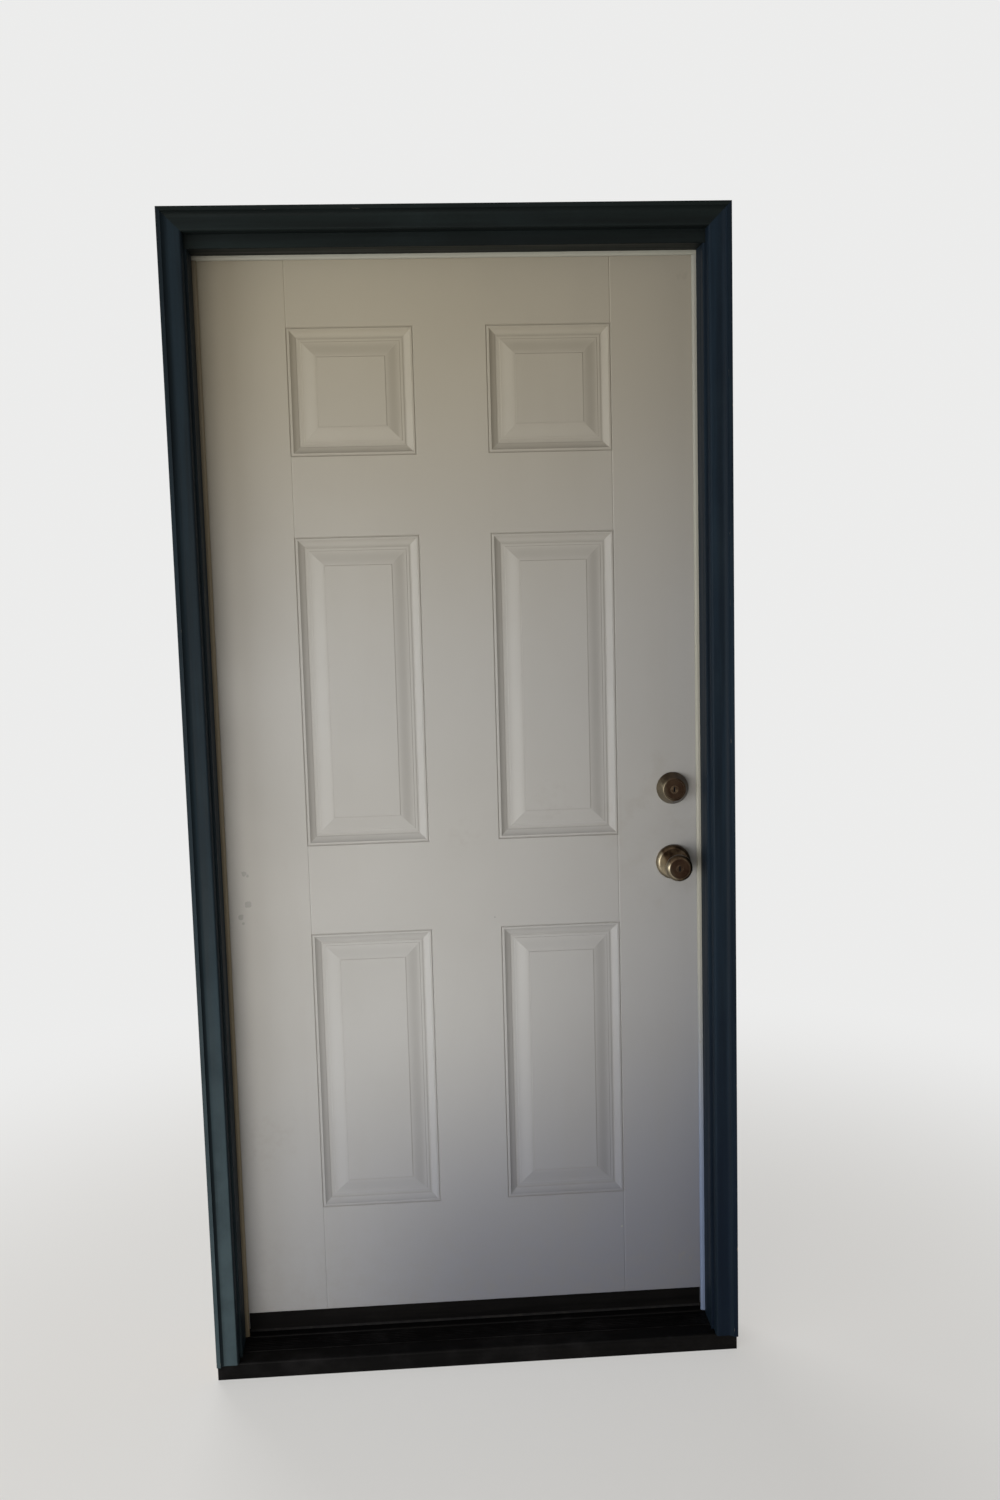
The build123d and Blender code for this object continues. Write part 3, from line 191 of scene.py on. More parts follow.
# Marks on the leaf's outside: where each is, its radius and, for a smudge, its strength
door_chips = [
    ((-0.4052, 0, 0.9351), 0.0062),
    ((-0.3993, 0, 0.9310), 0.0034),
    ((-0.3989, 0, 0.8766), 0.0070),
    ((-0.4145, 0, 0.8546), 0.0058),
    ((-0.4103, 0, 0.8420), 0.0026),
    ((0.0548, 0, 0.8346), 0.0018),
    ((0.2844, 0, 0.2142), 0.0020),
]
door_smudges = [
    ((-0.0024, 0, 0.9924), 0.035, 0.10),
    ((0.1720, 0, 1.0516), 0.045, 0.10),
    ((0.4087, 0, 0.1437), 0.018, 0.30),
    ((-0.3883, 0, 0.4200), 0.060, 0.10),
    ((0.4240, 0, 1.9880), 0.014, 0.30),
]


# Finishes, as small steps that build on the object's own coordinates
class Finish:
    """One material, with the noise, masks and mixes that it is made from."""

    def __init__(self, name, roughness=0.5, metallic=0.0, specular=0.5):
        self.material = bpy.data.materials.new(name)
        self.material.use_nodes = True
        self.tree = self.material.node_tree
        self.shader = self.tree.nodes["Principled BSDF"]
        self.shader.inputs["Roughness"].default_value = roughness
        self.shader.inputs["Metallic"].default_value = metallic
        self.shader.inputs["Specular IOR Level"].default_value = specular
        self.place = self.tree.nodes.new("ShaderNodeTexCoord").outputs["Object"]

    def join(self, value, socket):
        """Give a socket a number, a colour or another node's output."""
        if isinstance(value, bpy.types.NodeSocket):
            self.tree.links.new(value, socket)
        else:
            socket.default_value = value

    def stretched(self, scale, place=None):
        """The place with its coordinates scaled, which draws a pattern out."""
        mapping = self.tree.nodes.new("ShaderNodeMapping")
        mapping.inputs["Scale"].default_value = scale
        self.join(place or self.place, mapping.inputs["Vector"])
        return mapping.outputs["Vector"]

    def cloud(self, scale, detail=4.0, roughness=0.55, distortion=0.0, place=None):
        """Soft noise from 0 to 1, most of it near the middle."""
        noise = self.tree.nodes.new("ShaderNodeTexNoise")
        self.join(place or self.place, noise.inputs["Vector"])
        noise.inputs["Scale"].default_value = scale
        noise.inputs["Detail"].default_value = detail
        noise.inputs["Roughness"].default_value = roughness
        noise.inputs["Distortion"].default_value = distortion
        return noise.outputs["Fac"]

    def spread(self, value, low, high, low_out=0.0, high_out=1.0, kind="SMOOTHSTEP"):
        """Lay the span from low to high over the outputs, held at both ends."""
        spread = self.tree.nodes.new("ShaderNodeMapRange")
        spread.interpolation_type = kind
        self.join(value, spread.inputs["Value"])
        for name, number in (
            ("From Min", low),
            ("From Max", high),
            ("To Min", low_out),
            ("To Max", high_out),
        ):
            spread.inputs[name].default_value = number
        return spread.outputs["Result"]

    def math(self, operation, first, second=0.0):
        """One step of arithmetic on numbers or outputs."""
        node = self.tree.nodes.new("ShaderNodeMath")
        node.operation = operation
        self.join(first, node.inputs[0])
        self.join(second, node.inputs[1])
        return node.outputs["Value"]

    def times(self, first, second):
        """One mask weakened by another."""
        return self.math("MULTIPLY", first, second)

    def most(self, first, second):
        """The larger of two masks."""
        return self.math("MAXIMUM", first, second)

    def band(self, value, middle, inner, outer, amount=1.0):
        """The amount on a line where the value is the middle, fading out to each side."""
        away = self.math("ABSOLUTE", self.math("SUBTRACT", value, middle))
        return self.spread(away, inner, outer, amount, 0.0)

    def blend(self, amount, first, second):
        """The first colour, turned into the second by the amount."""
        mix = self.tree.nodes.new("ShaderNodeMix")
        mix.data_type = "RGBA"
        self.join(amount, mix.inputs["Factor"])
        self.join(first, mix.inputs["A"])
        self.join(second, mix.inputs["B"])
        colour_out = [socket for socket in mix.outputs if socket.type == "RGBA"]
        return colour_out[0]

    def axis(self, name):
        """One coordinate of the place, in metres."""
        split = self.tree.nodes.new("ShaderNodeSeparateXYZ")
        self.join(self.place, split.inputs["Vector"])
        return split.outputs[name]

    def facing(self, name):
        """How far a face looks along an axis, either way."""
        place = self.tree.nodes.new("ShaderNodeTexCoord")
        split = self.tree.nodes.new("ShaderNodeSeparateXYZ")
        self.join(place.outputs["Normal"], split.inputs["Vector"])
        return self.math("ABSOLUTE", split.outputs[name])

    def near(self, point, radius, ragged=0.0, grain=60.0, soft=0.28):
        """1 within the radius of a point on the face, with a soft or ragged outline."""
        offset = self.tree.nodes.new("ShaderNodeVectorMath")
        offset.operation = "SUBTRACT"
        self.join(self.place, offset.inputs[0])
        offset.inputs[1].default_value = point
        place = self.stretched((1, 0, 1), offset.outputs["Vector"])
        length = self.tree.nodes.new("ShaderNodeVectorMath")
        length.operation = "LENGTH"
        self.join(place, length.inputs[0])
        distance = length.outputs["Value"]
        if ragged:
            wobble = self.math("SUBTRACT", self.cloud(grain, 3.0), 0.5)
            distance = self.math("ADD", distance, self.times(wobble, ragged))
        return self.spread(distance, radius * (1.0 - soft), radius, 1.0, 0.0)

    def worn_edges(self, radius):
        """1 on sharp edges, from how far a rounded normal leaves the true one."""
        bevel = self.tree.nodes.new("ShaderNodeBevel")
        bevel.samples = bevel_samples
        bevel.inputs["Radius"].default_value = radius
        geometry = self.tree.nodes.new("ShaderNodeNewGeometry")
        turn = self.tree.nodes.new("ShaderNodeVectorMath")
        turn.operation = "DOT_PRODUCT"
        self.join(bevel.outputs["Normal"], turn.inputs[0])
        self.join(geometry.outputs["Normal"], turn.inputs[1])
        return self.spread(turn.outputs["Value"], *edge_agreement, 1.0, 0.0)

    def colour(self, value):
        self.join(value, self.shader.inputs["Base Color"])

    def roughness(self, value, low, high):
        """Roughness between low and high, from noise."""
        self.join(self.spread(value, 0.3, 0.7, low, high), self.shader.inputs["Roughness"])

    def relief(self, height, depth, strength=1.0, under=None):
        """A bump of that depth in metres, over an earlier one."""
        bump = self.tree.nodes.new("ShaderNodeBump")
        bump.inputs["Strength"].default_value = strength
        bump.inputs["Distance"].default_value = depth
        self.join(height, bump.inputs["Height"])
        if under:
            self.join(under, bump.inputs["Normal"])
        self.join(bump.outputs["Normal"], self.shader.inputs["Normal"])
        return bump.outputs["Normal"]


def lengthwise(along, across_scale, along_scale):
    """Scales of a pattern that runs along Z, or else along X."""
    if along == "Z":
        return (across_scale, across_scale, along_scale)
    return (along_scale, across_scale, across_scale)


def panel_inset(finish):
    """How far a point lies inside the groove round the nearest panel."""
    across = None
    for middle in panel_columns:
        off = finish.math("ABSOLUTE", finish.math("SUBTRACT", finish.axis("X"), middle))
        inset = finish.math("SUBTRACT", panel_half_width, off)
        across = finish.most(across, inset) if across else inset
    upward = None
    for middle, half_height in panel_rows:
        off = finish.math("ABSOLUTE", finish.math("SUBTRACT", finish.axis("Z"), middle))
        inset = finish.math("SUBTRACT", half_height, off)
        upward = finish.most(upward, inset) if upward else inset
    return finish.math("MINIMUM", across, upward)


def door_enamel(name, outside):
    """Off-white enamel on pressed steel, darker at the top, down the lock side and at the foot,
    partly from painted shade, with old marks on the outside.
    """
    finish = Finish(name, roughness=0.5, specular=0.25)
    height = finish.axis("Z")
    across = finish.axis("X")
    low_part = finish.spread(height, leaf_low.z, leaf_low.z + white_reach, 1.0, 0.0)
    # The top turns warmer and darker, partly painted shade
    high_part = finish.spread(height, leaf_high.z - yellow_reach, leaf_high.z)
    colour = finish.blend(low_part, door_middle_white, door_lower)
    colour = finish.blend(high_part, colour, door_upper)
    # Painted shade down the lock side, strongest low down; at the foot, dirt and painted shade
    right_part = finish.spread(across, -0.10, leaf_high.x + 0.05)
    lock_side = finish.times(right_part, finish.spread(height, 0.30, 1.10, 0.56, 0.17))
    colour = finish.blend(lock_side, colour, door_cool_shade_and_dirt)
    foot_side = finish.spread(across, leaf_low.x - 0.10, 0.05, 0.15, 1.0)
    foot_dirt_and_shade = finish.times(foot_side, finish.spread(height, 0.10, 0.70, 0.80, 0.0))
    colour = finish.blend(foot_dirt_and_shade, colour, door_cool_shade_and_dirt)
    # Lines of dirt and painted shade in the grooves, the valley and on the step at the field's
    # edge
    inset = panel_inset(finish)
    for line, inner, outer, amount in fold_dirt_and_shade_lines:
        dirt = finish.band(inset, line, inner, outer, amount)
        colour = finish.blend(dirt, colour, groove_dirt_and_shade)
    clouds = finish.spread(finish.cloud(2.2, 4.0), 0.35, 0.70, 0.0, 0.10)
    colour = finish.blend(clouds, colour, door_grime)
    rain = finish.cloud(9.0, 4.0, place=finish.stretched((1, 1, 0.16)))
    streaks = finish.spread(rain, 0.50, 0.80, 0.0, 0.10)
    colour = finish.blend(streaks, colour, door_grime)
    foot = finish.spread(height, leaf_low.z, leaf_low.z + splash_reach, 1.0, 0.0)
    splash = finish.times(foot, finish.spread(finish.cloud(30.0, 7.0, 0.7), 0.35, 0.80, 0.0, 0.22))
    colour = finish.blend(splash, colour, door_grime)
    if outside:
        hands = finish.near((knob_x + 0.01, 0, knob_z + 0.06), 0.16, 0.12, 14.0)
        smears = finish.times(hands, finish.spread(finish.cloud(26.0, 6.0), 0.45, 0.75, 0.0, 0.16))
        colour = finish.blend(smears, colour, door_grime)
        for point, radius, amount in door_smudges:
            smudge = finish.near(point, radius, radius * 1.3, 40.0)
            broken = finish.times(smudge, finish.spread(finish.cloud(70.0, 6.0), 0.42, 0.72))
            colour = finish.blend(finish.times(broken, amount), colour, door_grime)
        for point, radius in door_chips:
            chip = finish.near(point, radius, radius * 1.6, 120.0)
            colour = finish.blend(finish.times(chip, 0.75), colour, chip_grey)
    finish.colour(colour)
    finish.roughness(finish.cloud(6.0, 5.0), 0.44, 0.60)
    straight = finish.spread(inset, bevel_start, field_edge, kind="LINEAR")
    eased = finish.spread(inset, bevel_start, field_edge)
    ogee = finish.relief(finish.math("SUBTRACT", eased, straight), bevel_ogee)
    waves = finish.relief(finish.cloud(14.0, 2.0), 0.0006, 0.25, ogee)
    finish.relief(finish.cloud(700.0, 2.0), 0.00008, 0.5, waves)
    return finish.material


def frame_paint(name, along, back, edge=None, tones=(teal_dark, teal_paint), low=None):
    """Old paint over wood: brush marks, another colour low down, painted shade on faces that don't
    look forward, bare wood at the back.

    The back is the axis and place of the face that is hidden once the frame is fixed. The
    edge is the same for the outside of a casing, where the brush stopped short. Low is the
    colour that the front turns to towards the sill, and how much of it.
    """
    finish = Finish(name, roughness=0.5, specular=0.06)
    brushed = lengthwise(along, 55, 2.2)
    grain = lengthwise(along, 160, 5)
    strokes = finish.cloud(1.0, 5.0, 0.6, place=finish.stretched(brushed))
    dark, paint = tones
    colour = finish.blend(finish.spread(strokes, 0.30, 0.72), dark, paint)
    front = finish.spread(finish.facing("Y"), *looks_front)
    patches = finish.spread(finish.cloud(4.0, 5.0, 0.6, 0.4), 0.45, 0.80, 0.0, 0.08)
    colour = finish.blend(finish.times(patches, front), colour, teal_faded)
    # Towards the sill the front turns to the low colour through noise: paler on the hinge side,
    # painted shade on the lock side
    if low:
        low_colour, amount = low
        foot = finish.spread(finish.axis("Z"), 0.0, 1.1, amount, 0.0)
        dust = finish.times(foot, finish.spread(finish.cloud(18.0, 6.0), 0.25, 0.70, 0.60, 1.0))
        on_front = finish.spread(finish.facing("Y"), *looks_front, 0.12, 1.0)
        colour = finish.blend(finish.times(dust, on_front), colour, low_colour)
    # Painted shade: faces that don't look forward turn darker
    shaded = finish.spread(finish.facing("Y"), *looks_front, 0.45, 0.0)
    colour = finish.blend(shaded, colour, dark)
    rubbed = finish.spread(finish.cloud(28.0, 6.0, 0.65), 0.62, 0.70, 0.0, 0.7)
    bare = finish.times(finish.worn_edges(0.0018), rubbed)
    colour = finish.blend(bare, colour, old_primer)
    wood = finish.cloud(1.0, 4.0, 0.6, 1.0, finish.stretched(grain))
    pine = finish.blend(finish.spread(wood, 0.35, 0.70), pine_light, pine_dark)
    for place, ragged in ((back, 0.0), (edge, 0.012)):
        if place:
            axis, start = place
            reach = finish.axis(axis)
            if axis == "X":
                reach = finish.math("ABSOLUTE", reach)
            if ragged:
                wander = finish.math("SUBTRACT", finish.cloud(30.0, 6.0, 0.7), 0.5)
                reach = finish.math("ADD", reach, finish.times(wander, ragged))
            bare_start, bare_full = bare_wood
            unpainted = finish.spread(reach, start - bare_start, start - bare_full)
            if not ragged:
                hidden = finish.spread(finish.facing(axis), *looks_back)
                unpainted = finish.times(unpainted, hidden)
            colour = finish.blend(unpainted, colour, pine)
    finish.colour(colour)
    finish.roughness(strokes, 0.42, 0.62)
    fibres = finish.cloud(1.0, 4.0, 0.6, place=finish.stretched(grain))
    under = finish.relief(fibres, 0.0005, 0.30)
    finish.relief(strokes, 0.0007, 0.25, under)
    return finish.material


def weatherstrip_vinyl(name, along, clean=strip_white, low=None):
    """Foam-filled strip with a faint grain, dirt in its folds and, where a low colour is given,
    painted shade towards its foot.
    """
    finish = Finish(name, roughness=0.55, specular=0.3)
    dirt = finish.cloud(1.0, 6.0, 0.65, place=finish.stretched(lengthwise(along, 30, 3)))
    specks = finish.spread(finish.cloud(120.0, 3.0), 0.66, 0.72, 0.0, 0.35)
    amount = finish.most(finish.spread(dirt, 0.50, 0.90, 0.0, 0.45), specks)
    colour = clean
    # Where a low colour is given, painted shade towards the foot
    if low:
        colour = finish.blend(finish.spread(finish.axis("Z"), 0.20, 0.85, 1.0, 0.0), clean, low)
    finish.colour(finish.blend(amount, colour, strip_grime))
    finish.roughness(dirt, 0.45, 0.70)
    finish.relief(finish.cloud(260.0, 3.0), 0.0002, 0.5)
    return finish.material


def dark_bronze(name, dusty):
    """Anodised bronze metal, scuffed on its edges, with dust that has settled on it."""
    finish = Finish(name, roughness=0.5, specular=0.05)
    long_scuffs = finish.cloud(1.0, 6.0, 0.7, place=finish.stretched((4, 90, 90)))
    colour = finish.blend(finish.spread(long_scuffs, 0.40, 0.75), bronze_dark, bronze_worn)
    broken = finish.spread(finish.cloud(40.0, 5.0), 0.4, 0.6)
    edges = finish.times(finish.worn_edges(0.0018), broken)
    colour = finish.blend(finish.times(edges, 0.25), colour, sill_dust)
    dust = finish.spread(finish.cloud(14.0, 8.0, 0.7), 0.45, 0.80, 0.0, dusty)
    colour = finish.blend(dust, colour, sill_dust)
    finish.colour(colour)
    finish.roughness(long_scuffs, 0.42, 0.66)
    finish.relief(long_scuffs, 0.0002, 0.4)
    return finish.material


def aged_brass(name, height, shine, seed, face=None, tone=0.0, keyway=False):
    """Brass gone brown, rubbed bright in places, with a painted highlight on the side of the
    hinges and below.

    The height is that of the lock, the shine is how bright the wear and the painted highlight get,
    and the seed shifts its pattern. The face is the radius of a round face and its distance from
    the middle of the leaf: it is darker. The tone darkens the whole piece. A keyway gets painted
    shade in and round it.
    """
    finish = Finish(name, roughness=0.35, metallic=1.0)
    shifted = finish.tree.nodes.new("ShaderNodeMapping")
    shifted.inputs["Location"].default_value = (seed, seed * 0.7, seed * 1.3)
    finish.join(finish.place, shifted.inputs["Vector"])
    place = shifted.outputs["Vector"]
    bloom = finish.cloud(55.0, 6.0, 0.62, 0.6, place)
    spots = finish.cloud(420.0, 4.0, 0.6, 0.0, place)
    colour = finish.blend(finish.spread(bloom, 0.36, 0.66), brass_oxide, brass_brown)
    bright = finish.spread(finish.cloud(38.0, 5.0, 0.6, 0.3, place), 0.50, 0.72, 0.0, shine)
    rubbed = finish.most(bright, finish.times(finish.worn_edges(0.0016), 0.8))
    # Painted highlight: lighter towards the hinge side and the bottom, with the wear kept mostly
    # there too
    beside = finish.math("SUBTRACT", knob_x, finish.axis("X"))
    below = finish.times(finish.math("SUBTRACT", height, finish.axis("Z")), 0.45)
    lit_side = finish.spread(finish.math("ADD", beside, below), 0.003, 0.020, 0.12, 1.0)
    side_highlight = finish.spread(lit_side, 0.55, 1.0, 0.0, shine * 0.55, "LINEAR")
    rubbed = finish.most(finish.times(rubbed, lit_side), side_highlight)
    colour = finish.blend(rubbed, colour, brass_worn_and_highlight)
    if face:
        radius, reach = face
        inside = finish.near((knob_x, 0, height), radius, soft=0.04)
        out = finish.math("ABSOLUTE", finish.math("SUBTRACT", finish.axis("Y"), leaf_middle))
        face_start, face_full = face_depth
        proud = finish.spread(out, reach - face_start, reach - face_full)
        front = finish.times(inside, proud)
        colour = finish.blend(finish.times(front, 0.88), colour, brass_face)
    pits = finish.spread(spots, 0.60, 0.70, 0.0, 0.7)
    colour = finish.blend(pits, colour, brass_oxide)
    colour = finish.blend(tone, colour, brass_face)
    # Painted shade of the keyway's slot, in and round it
    if keyway:
        sides = finish.band(finish.axis("X"), knob_x, *keyway_across)
        ends = finish.band(finish.axis("Z"), height, *keyway_upright)
        colour = finish.blend(finish.times(sides, ends), colour, rubber_black)
    finish.colour(colour)
    finish.roughness(bloom, 0.26, 0.48)
    finish.relief(spots, 0.00012, 0.35)
    return finish.material


def plated_steel(name):
    """Plated steel with fine brush lines and faint tarnish."""
    finish = Finish(name, roughness=0.35, metallic=1.0)
    lines = finish.cloud(1.0, 4.0, 0.6, place=finish.stretched((300, 300, 18)))
    tarnish = finish.spread(finish.cloud(60.0, 5.0), 0.45, 0.75, 0.0, 0.8)
    finish.colour(finish.blend(tarnish, steel_light, steel_dark))
    finish.roughness(lines, 0.28, 0.48)
    finish.relief(lines, 0.00006, 0.4)
    return finish.material


def bare_pine(name, along):
    """Sawn pine with grain along its length."""
    finish = Finish(name, roughness=0.7)
    rings = finish.cloud(1.0, 5.0, 0.6, 1.2, finish.stretched(lengthwise(along, 45, 1.6)))
    fibres = finish.cloud(1.0, 3.0, 0.6, 0.0, finish.stretched(lengthwise(along, 380, 9)))
    colour = finish.blend(finish.spread(rings, 0.38, 0.62), pine_light, pine_dark)
    colour = finish.blend(finish.spread(fibres, 0.40, 0.75, 0.0, 0.35), colour, pine_dark)
    finish.colour(colour)
    finish.roughness(fibres, 0.6, 0.8)
    finish.relief(fibres, 0.0002, 0.5)
    return finish.material


def core_foam(name):
    """Stiff yellow foam with fine cells."""
    finish = Finish(name, roughness=0.9)
    cells = finish.cloud(500.0, 3.0)
    finish.colour(finish.blend(finish.spread(cells, 0.3, 0.7), foam_yellow, pine_light))
    finish.relief(cells, 0.0004, 0.6)
    return finish.material


def seal_rubber(name):
    """Black rubber, dusty."""
    finish = Finish(name, roughness=0.75, specular=0.05)
    dust = finish.spread(finish.cloud(70.0, 6.0), 0.40, 0.80)
    finish.colour(finish.blend(dust, rubber_black, rubber_dust))
    finish.relief(finish.cloud(400.0, 2.0), 0.0002, 0.4)
    return finish.material


def cap_finish(name):
    """Dark brown sill cap, matt and scuffed."""
    finish = Finish(name, roughness=0.6, specular=0.05)
    scuffs = finish.cloud(1.0, 6.0, 0.65, place=finish.stretched((6, 60, 60)))
    colour = finish.blend(finish.spread(scuffs, 0.40, 0.80), bronze_dark, bronze_worn)
    dust = finish.spread(finish.cloud(30.0, 7.0, 0.7), 0.50, 0.85, 0.0, 0.3)
    finish.colour(finish.blend(dust, colour, sill_dust))
    finish.roughness(scuffs, 0.5, 0.75)
    finish.relief(scuffs, 0.0003, 0.4)
    return finish.material


def dress(material, *names):
    """Give a finish to carried-over pieces."""
    for name in names:
        mesh = nodes[name].data
        mesh.materials.clear()
        mesh.materials.append(material)


dress(door_enamel("door enamel outside", True), "outer_skin")
dress(door_enamel("door enamel inside", False), "inner_skin")
# The lock side and the head take darker copies of the frame paint, which are painted shade
navy_shade_tones = (navy_shade_dark, navy_shade_paint)
head_shade_tones = (head_shade_dark, head_shade_paint)
jamb_back = ("X", half_jamb)
casing_rear = ("Y", casing_back)
upright_edge = ("X", half_casing + 0.002)
head_edge = ("Z", casing_top + 0.002)
# Towards the sill the hinge side turns paler and the lock side turns to painted shade
paler_low = (teal_faded, 0.74)
bare_low = (teal_faded, 0.16)
shaded_low = (navy_shade_low, 0.80)
dress(frame_paint("jamb paint hinge side", "Z", jamb_back, low=bare_low), "hinge_jamb")
dress(
    frame_paint("jamb paint lock side", "Z", jamb_back, None, navy_shade_tones, shaded_low),
    "strike_jamb",
)
dress(frame_paint("jamb paint level", "X", ("Z", jamb_top), None, head_shade_tones), "head_jamb")
dress(
    frame_paint("casing paint hinge side", "Z", casing_rear, upright_edge, low=paler_low),
    "hinge_casing",
)
dress(
    frame_paint("casing paint lock side", "Z", casing_rear, upright_edge, navy_shade_tones, shaded_low),
    "strike_casing",
)
dress(
    frame_paint("casing paint level", "X", casing_rear, head_edge, head_shade_tones),
    "head_casing",
)
dress(
    weatherstrip_vinyl("weatherstrip lock side", "Z", strip_lock_side, strip_shade_low),
    "strike_weatherstrip",
)
# The hinge-side strip's darker colour is painted shade
dress(weatherstrip_vinyl("weatherstrip hinge side", "Z", strip_hinge_shade), "hinge_weatherstrip")
dress(weatherstrip_vinyl("weatherstrip level", "X"), "head_weatherstrip")
dress(dark_bronze("sill metal", 0.30), "sill_tread")
dress(dark_bronze("shoe metal", 0.06), "door_shoe")
dress(cap_finish("sill cap"), "sill_cap")
dress(seal_rubber("seal rubber"), "shoe_fins", "corner_pads")
dress(bare_pine("pine upright", "Z"), "hinge_stile", "lock_stile", "lock_block")
dress(bare_pine("pine level", "X"), "top_rail", "bottom_rail", "sill_base")
dress(core_foam("leaf foam"), "foam_core")
knob_face = (knob_face_radius, knob_reach)
housing_face = (housing_face_radius, leaf_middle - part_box("deadbolt_housing")[0].y)
dress(aged_brass("knob brass", knob_z, 0.75, 0.0, knob_face), "outer_knob", "inner_knob")
dress(aged_brass("rose brass", knob_z, 0.75, 3.0), "outer_rose", "inner_rose")
dress(aged_brass("housing brass", deadbolt_z, 0.60, 6.0, housing_face), "deadbolt_housing")
dress(aged_brass("thumb turn brass", deadbolt_z, 0.60, 8.0), "deadbolt_plate", "thumb_turn")
dress(aged_brass("cylinder brass", deadbolt_z, 0.30, 9.0, tone=0.78), "deadbolt_cylinder")
dress(
    aged_brass("deadbolt plug brass", deadbolt_z, 0.60, 11.0, tone=0.30, keyway=True),
    "deadbolt_plug",
)
dress(aged_brass("knob plug brass", knob_z, 0.40, 13.0, tone=0.55, keyway=True), "knob_plug")
dress(aged_brass("button brass", knob_z, 0.60, 12.0), "turn_button")
dress(
    aged_brass("lock edge brass", knob_z, 0.70, 15.0),
    "latch_strike",
    "deadbolt_strike",
    "latch_faceplate",
    "deadbolt_faceplate",
)
dress(plated_steel("bolt steel"), "latch_bolt", "deadbolt_bolt")
dress(plated_steel("case steel"), "latch_case", "deadbolt_case", "latch_cam", "deadbolt_cam")
dress(plated_steel("spindle steel"), "knob_spindle", "deadbolt_tailpiece")
dress(
    plated_steel("hinge steel"),
    "jamb_leaf_top",
    "jamb_leaf_middle",
    "jamb_leaf_bottom",
    "door_leaf_top",
    "door_leaf_middle",
    "door_leaf_bottom",
    "hinge_pins",
)
dress(
    plated_steel("screw steel"),
    "sill_cap_screws",
    "jamb_hinge_screws",
    "door_hinge_screws",
    "strike_screws",
    "faceplate_screws",
    "knob_screws",
    "deadbolt_screws",
)


# Crossed recesses of the screws
def crossed_recess():
    """One recess, lying across Z: a nine-square grid less its corners, given depth."""
    cross = bmesh.new()
    bmesh.ops.create_grid(cross, x_segments=3, y_segments=3, size=recess_reach)
    corners = []
    for square in cross.faces:
        middle = square.calc_center_median()
        if abs(middle.x) > recess_reach / 3 and abs(middle.y) > recess_reach / 3:
            corners.append(square)
    bmesh.ops.delete(cross, geom=corners, context="FACES")
    grown = bmesh.ops.extrude_face_region(cross, geom=cross.faces[:])
    raised = [part for part in grown["geom"] if isinstance(part, bmesh.types.BMVert)]
    bmesh.ops.translate(cross, verts=raised, vec=(0, 0, recess_sink + recess_lift))
    bmesh.ops.translate(cross, verts=cross.verts[:], vec=(0, 0, -recess_sink))
    tips = []
    for edge in cross.edges:
        foot, top = edge.verts
        if abs(top.co.z - foot.co.z) > recess_lift:
            tips.append(edge)
    bmesh.ops.bevel(
        cross,
        geom=tips,
        offset=recess_round,
        segments=2,
        profile=0.5,
        affect="EDGES",
        material=-1,
    )
    bmesh.ops.recalc_face_normals(cross, faces=cross.faces[:])
    return cross


def screw_recesses(name, body, facing, turn, places):
    """The recesses of one set of screws, each turned by that many degrees from the last."""
    cross = crossed_recess()
    mesh = bpy.data.meshes.new(name)
    single = bpy.data.meshes.new(name + "_single")
    cross.to_mesh(single)
    cross.free()
    together = bmesh.new()
    for number, place in enumerate(places):
        before = set(together.verts)
        together.from_mesh(single)
        added = [vertex for vertex in together.verts if vertex not in before]
        spin = Matrix.Rotation(radians(turn * (number + 1)), 4, "Z")
        aim = Vector(facing).to_track_quat("Z", "Y").to_matrix().to_4x4()
        bmesh.ops.transform(
            together,
            matrix=Matrix.Translation(place) @ aim @ spin,
            verts=added,
        )
    together.to_mesh(mesh)
    together.free()
    bpy.data.meshes.remove(single)
    piece = bpy.data.objects.new(name, mesh)
    bpy.context.scene.collection.objects.link(piece)
    mesh.materials.append(recess_finish)
    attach(piece, body)


def recess_fill(name):
    """Dark, gritty fill of a screw's recess."""
    finish = Finish(name, roughness=0.8, specular=0.1)
    grit = finish.cloud(900.0, 4.0)
    finish.colour(finish.blend(finish.spread(grit, 0.35, 0.70), rubber_black, recess_dark))
    finish.relief(grit, 0.0001, 0.6)
    return finish.material


recess_finish = recess_fill("recess fill")
hinge_leaf_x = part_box("door_hinge_screws")[0].x
hinge_jamb_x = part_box("jamb_hinge_screws")[1].x
faceplate_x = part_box("faceplate_screws")[1].x
strike_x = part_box("strike_screws")[0].x
hinge_leaf_places = []
hinge_jamb_places = []
for which in ("top", "middle", "bottom"):
    hinge_low, hinge_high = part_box("door_leaf_" + which)
    hinge_z = (hinge_low.z + hinge_high.z) / 2
    for back, rise in hinge_screw_rows:
        hinge_leaf_places.append((hinge_leaf_x, inside_y + back, hinge_z + rise))
        hinge_jamb_places.append((hinge_jamb_x, inside_y + back, hinge_z + rise))
screw_recesses("door_hinge_recesses", "door", (-1, 0, 0), 23, hinge_leaf_places)
screw_recesses("jamb_hinge_recesses", "frame", (1, 0, 0), 31, hinge_jamb_places)
faceplate_places = []
strike_places = []
for lock_z in (knob_z, deadbolt_z):
    for rise in (-plate_screw_rise, plate_screw_rise):
        faceplate_places.append((faceplate_x, leaf_middle, lock_z + rise))
        strike_places.append((strike_x, leaf_middle, lock_z + rise))
screw_recesses("faceplate_recesses", "door", (1, 0, 0), 37, faceplate_places)
screw_recesses("strike_recesses", "frame", (-1, 0, 0), 29, strike_places)
for trim, lock_z in (("knob", knob_z), ("deadbolt", deadbolt_z)):
    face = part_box(trim + "_screws")[1].y
    trim_places = [
        (knob_x + side, face, lock_z + trim_screw_rise)
        for side in (-trim_screw_side, trim_screw_side)
    ]
    screw_recesses(trim + "_trim_recesses", "door", (0, 1, 0), 41, trim_places)
cap_screw_gaps = cap_screw_count - 1
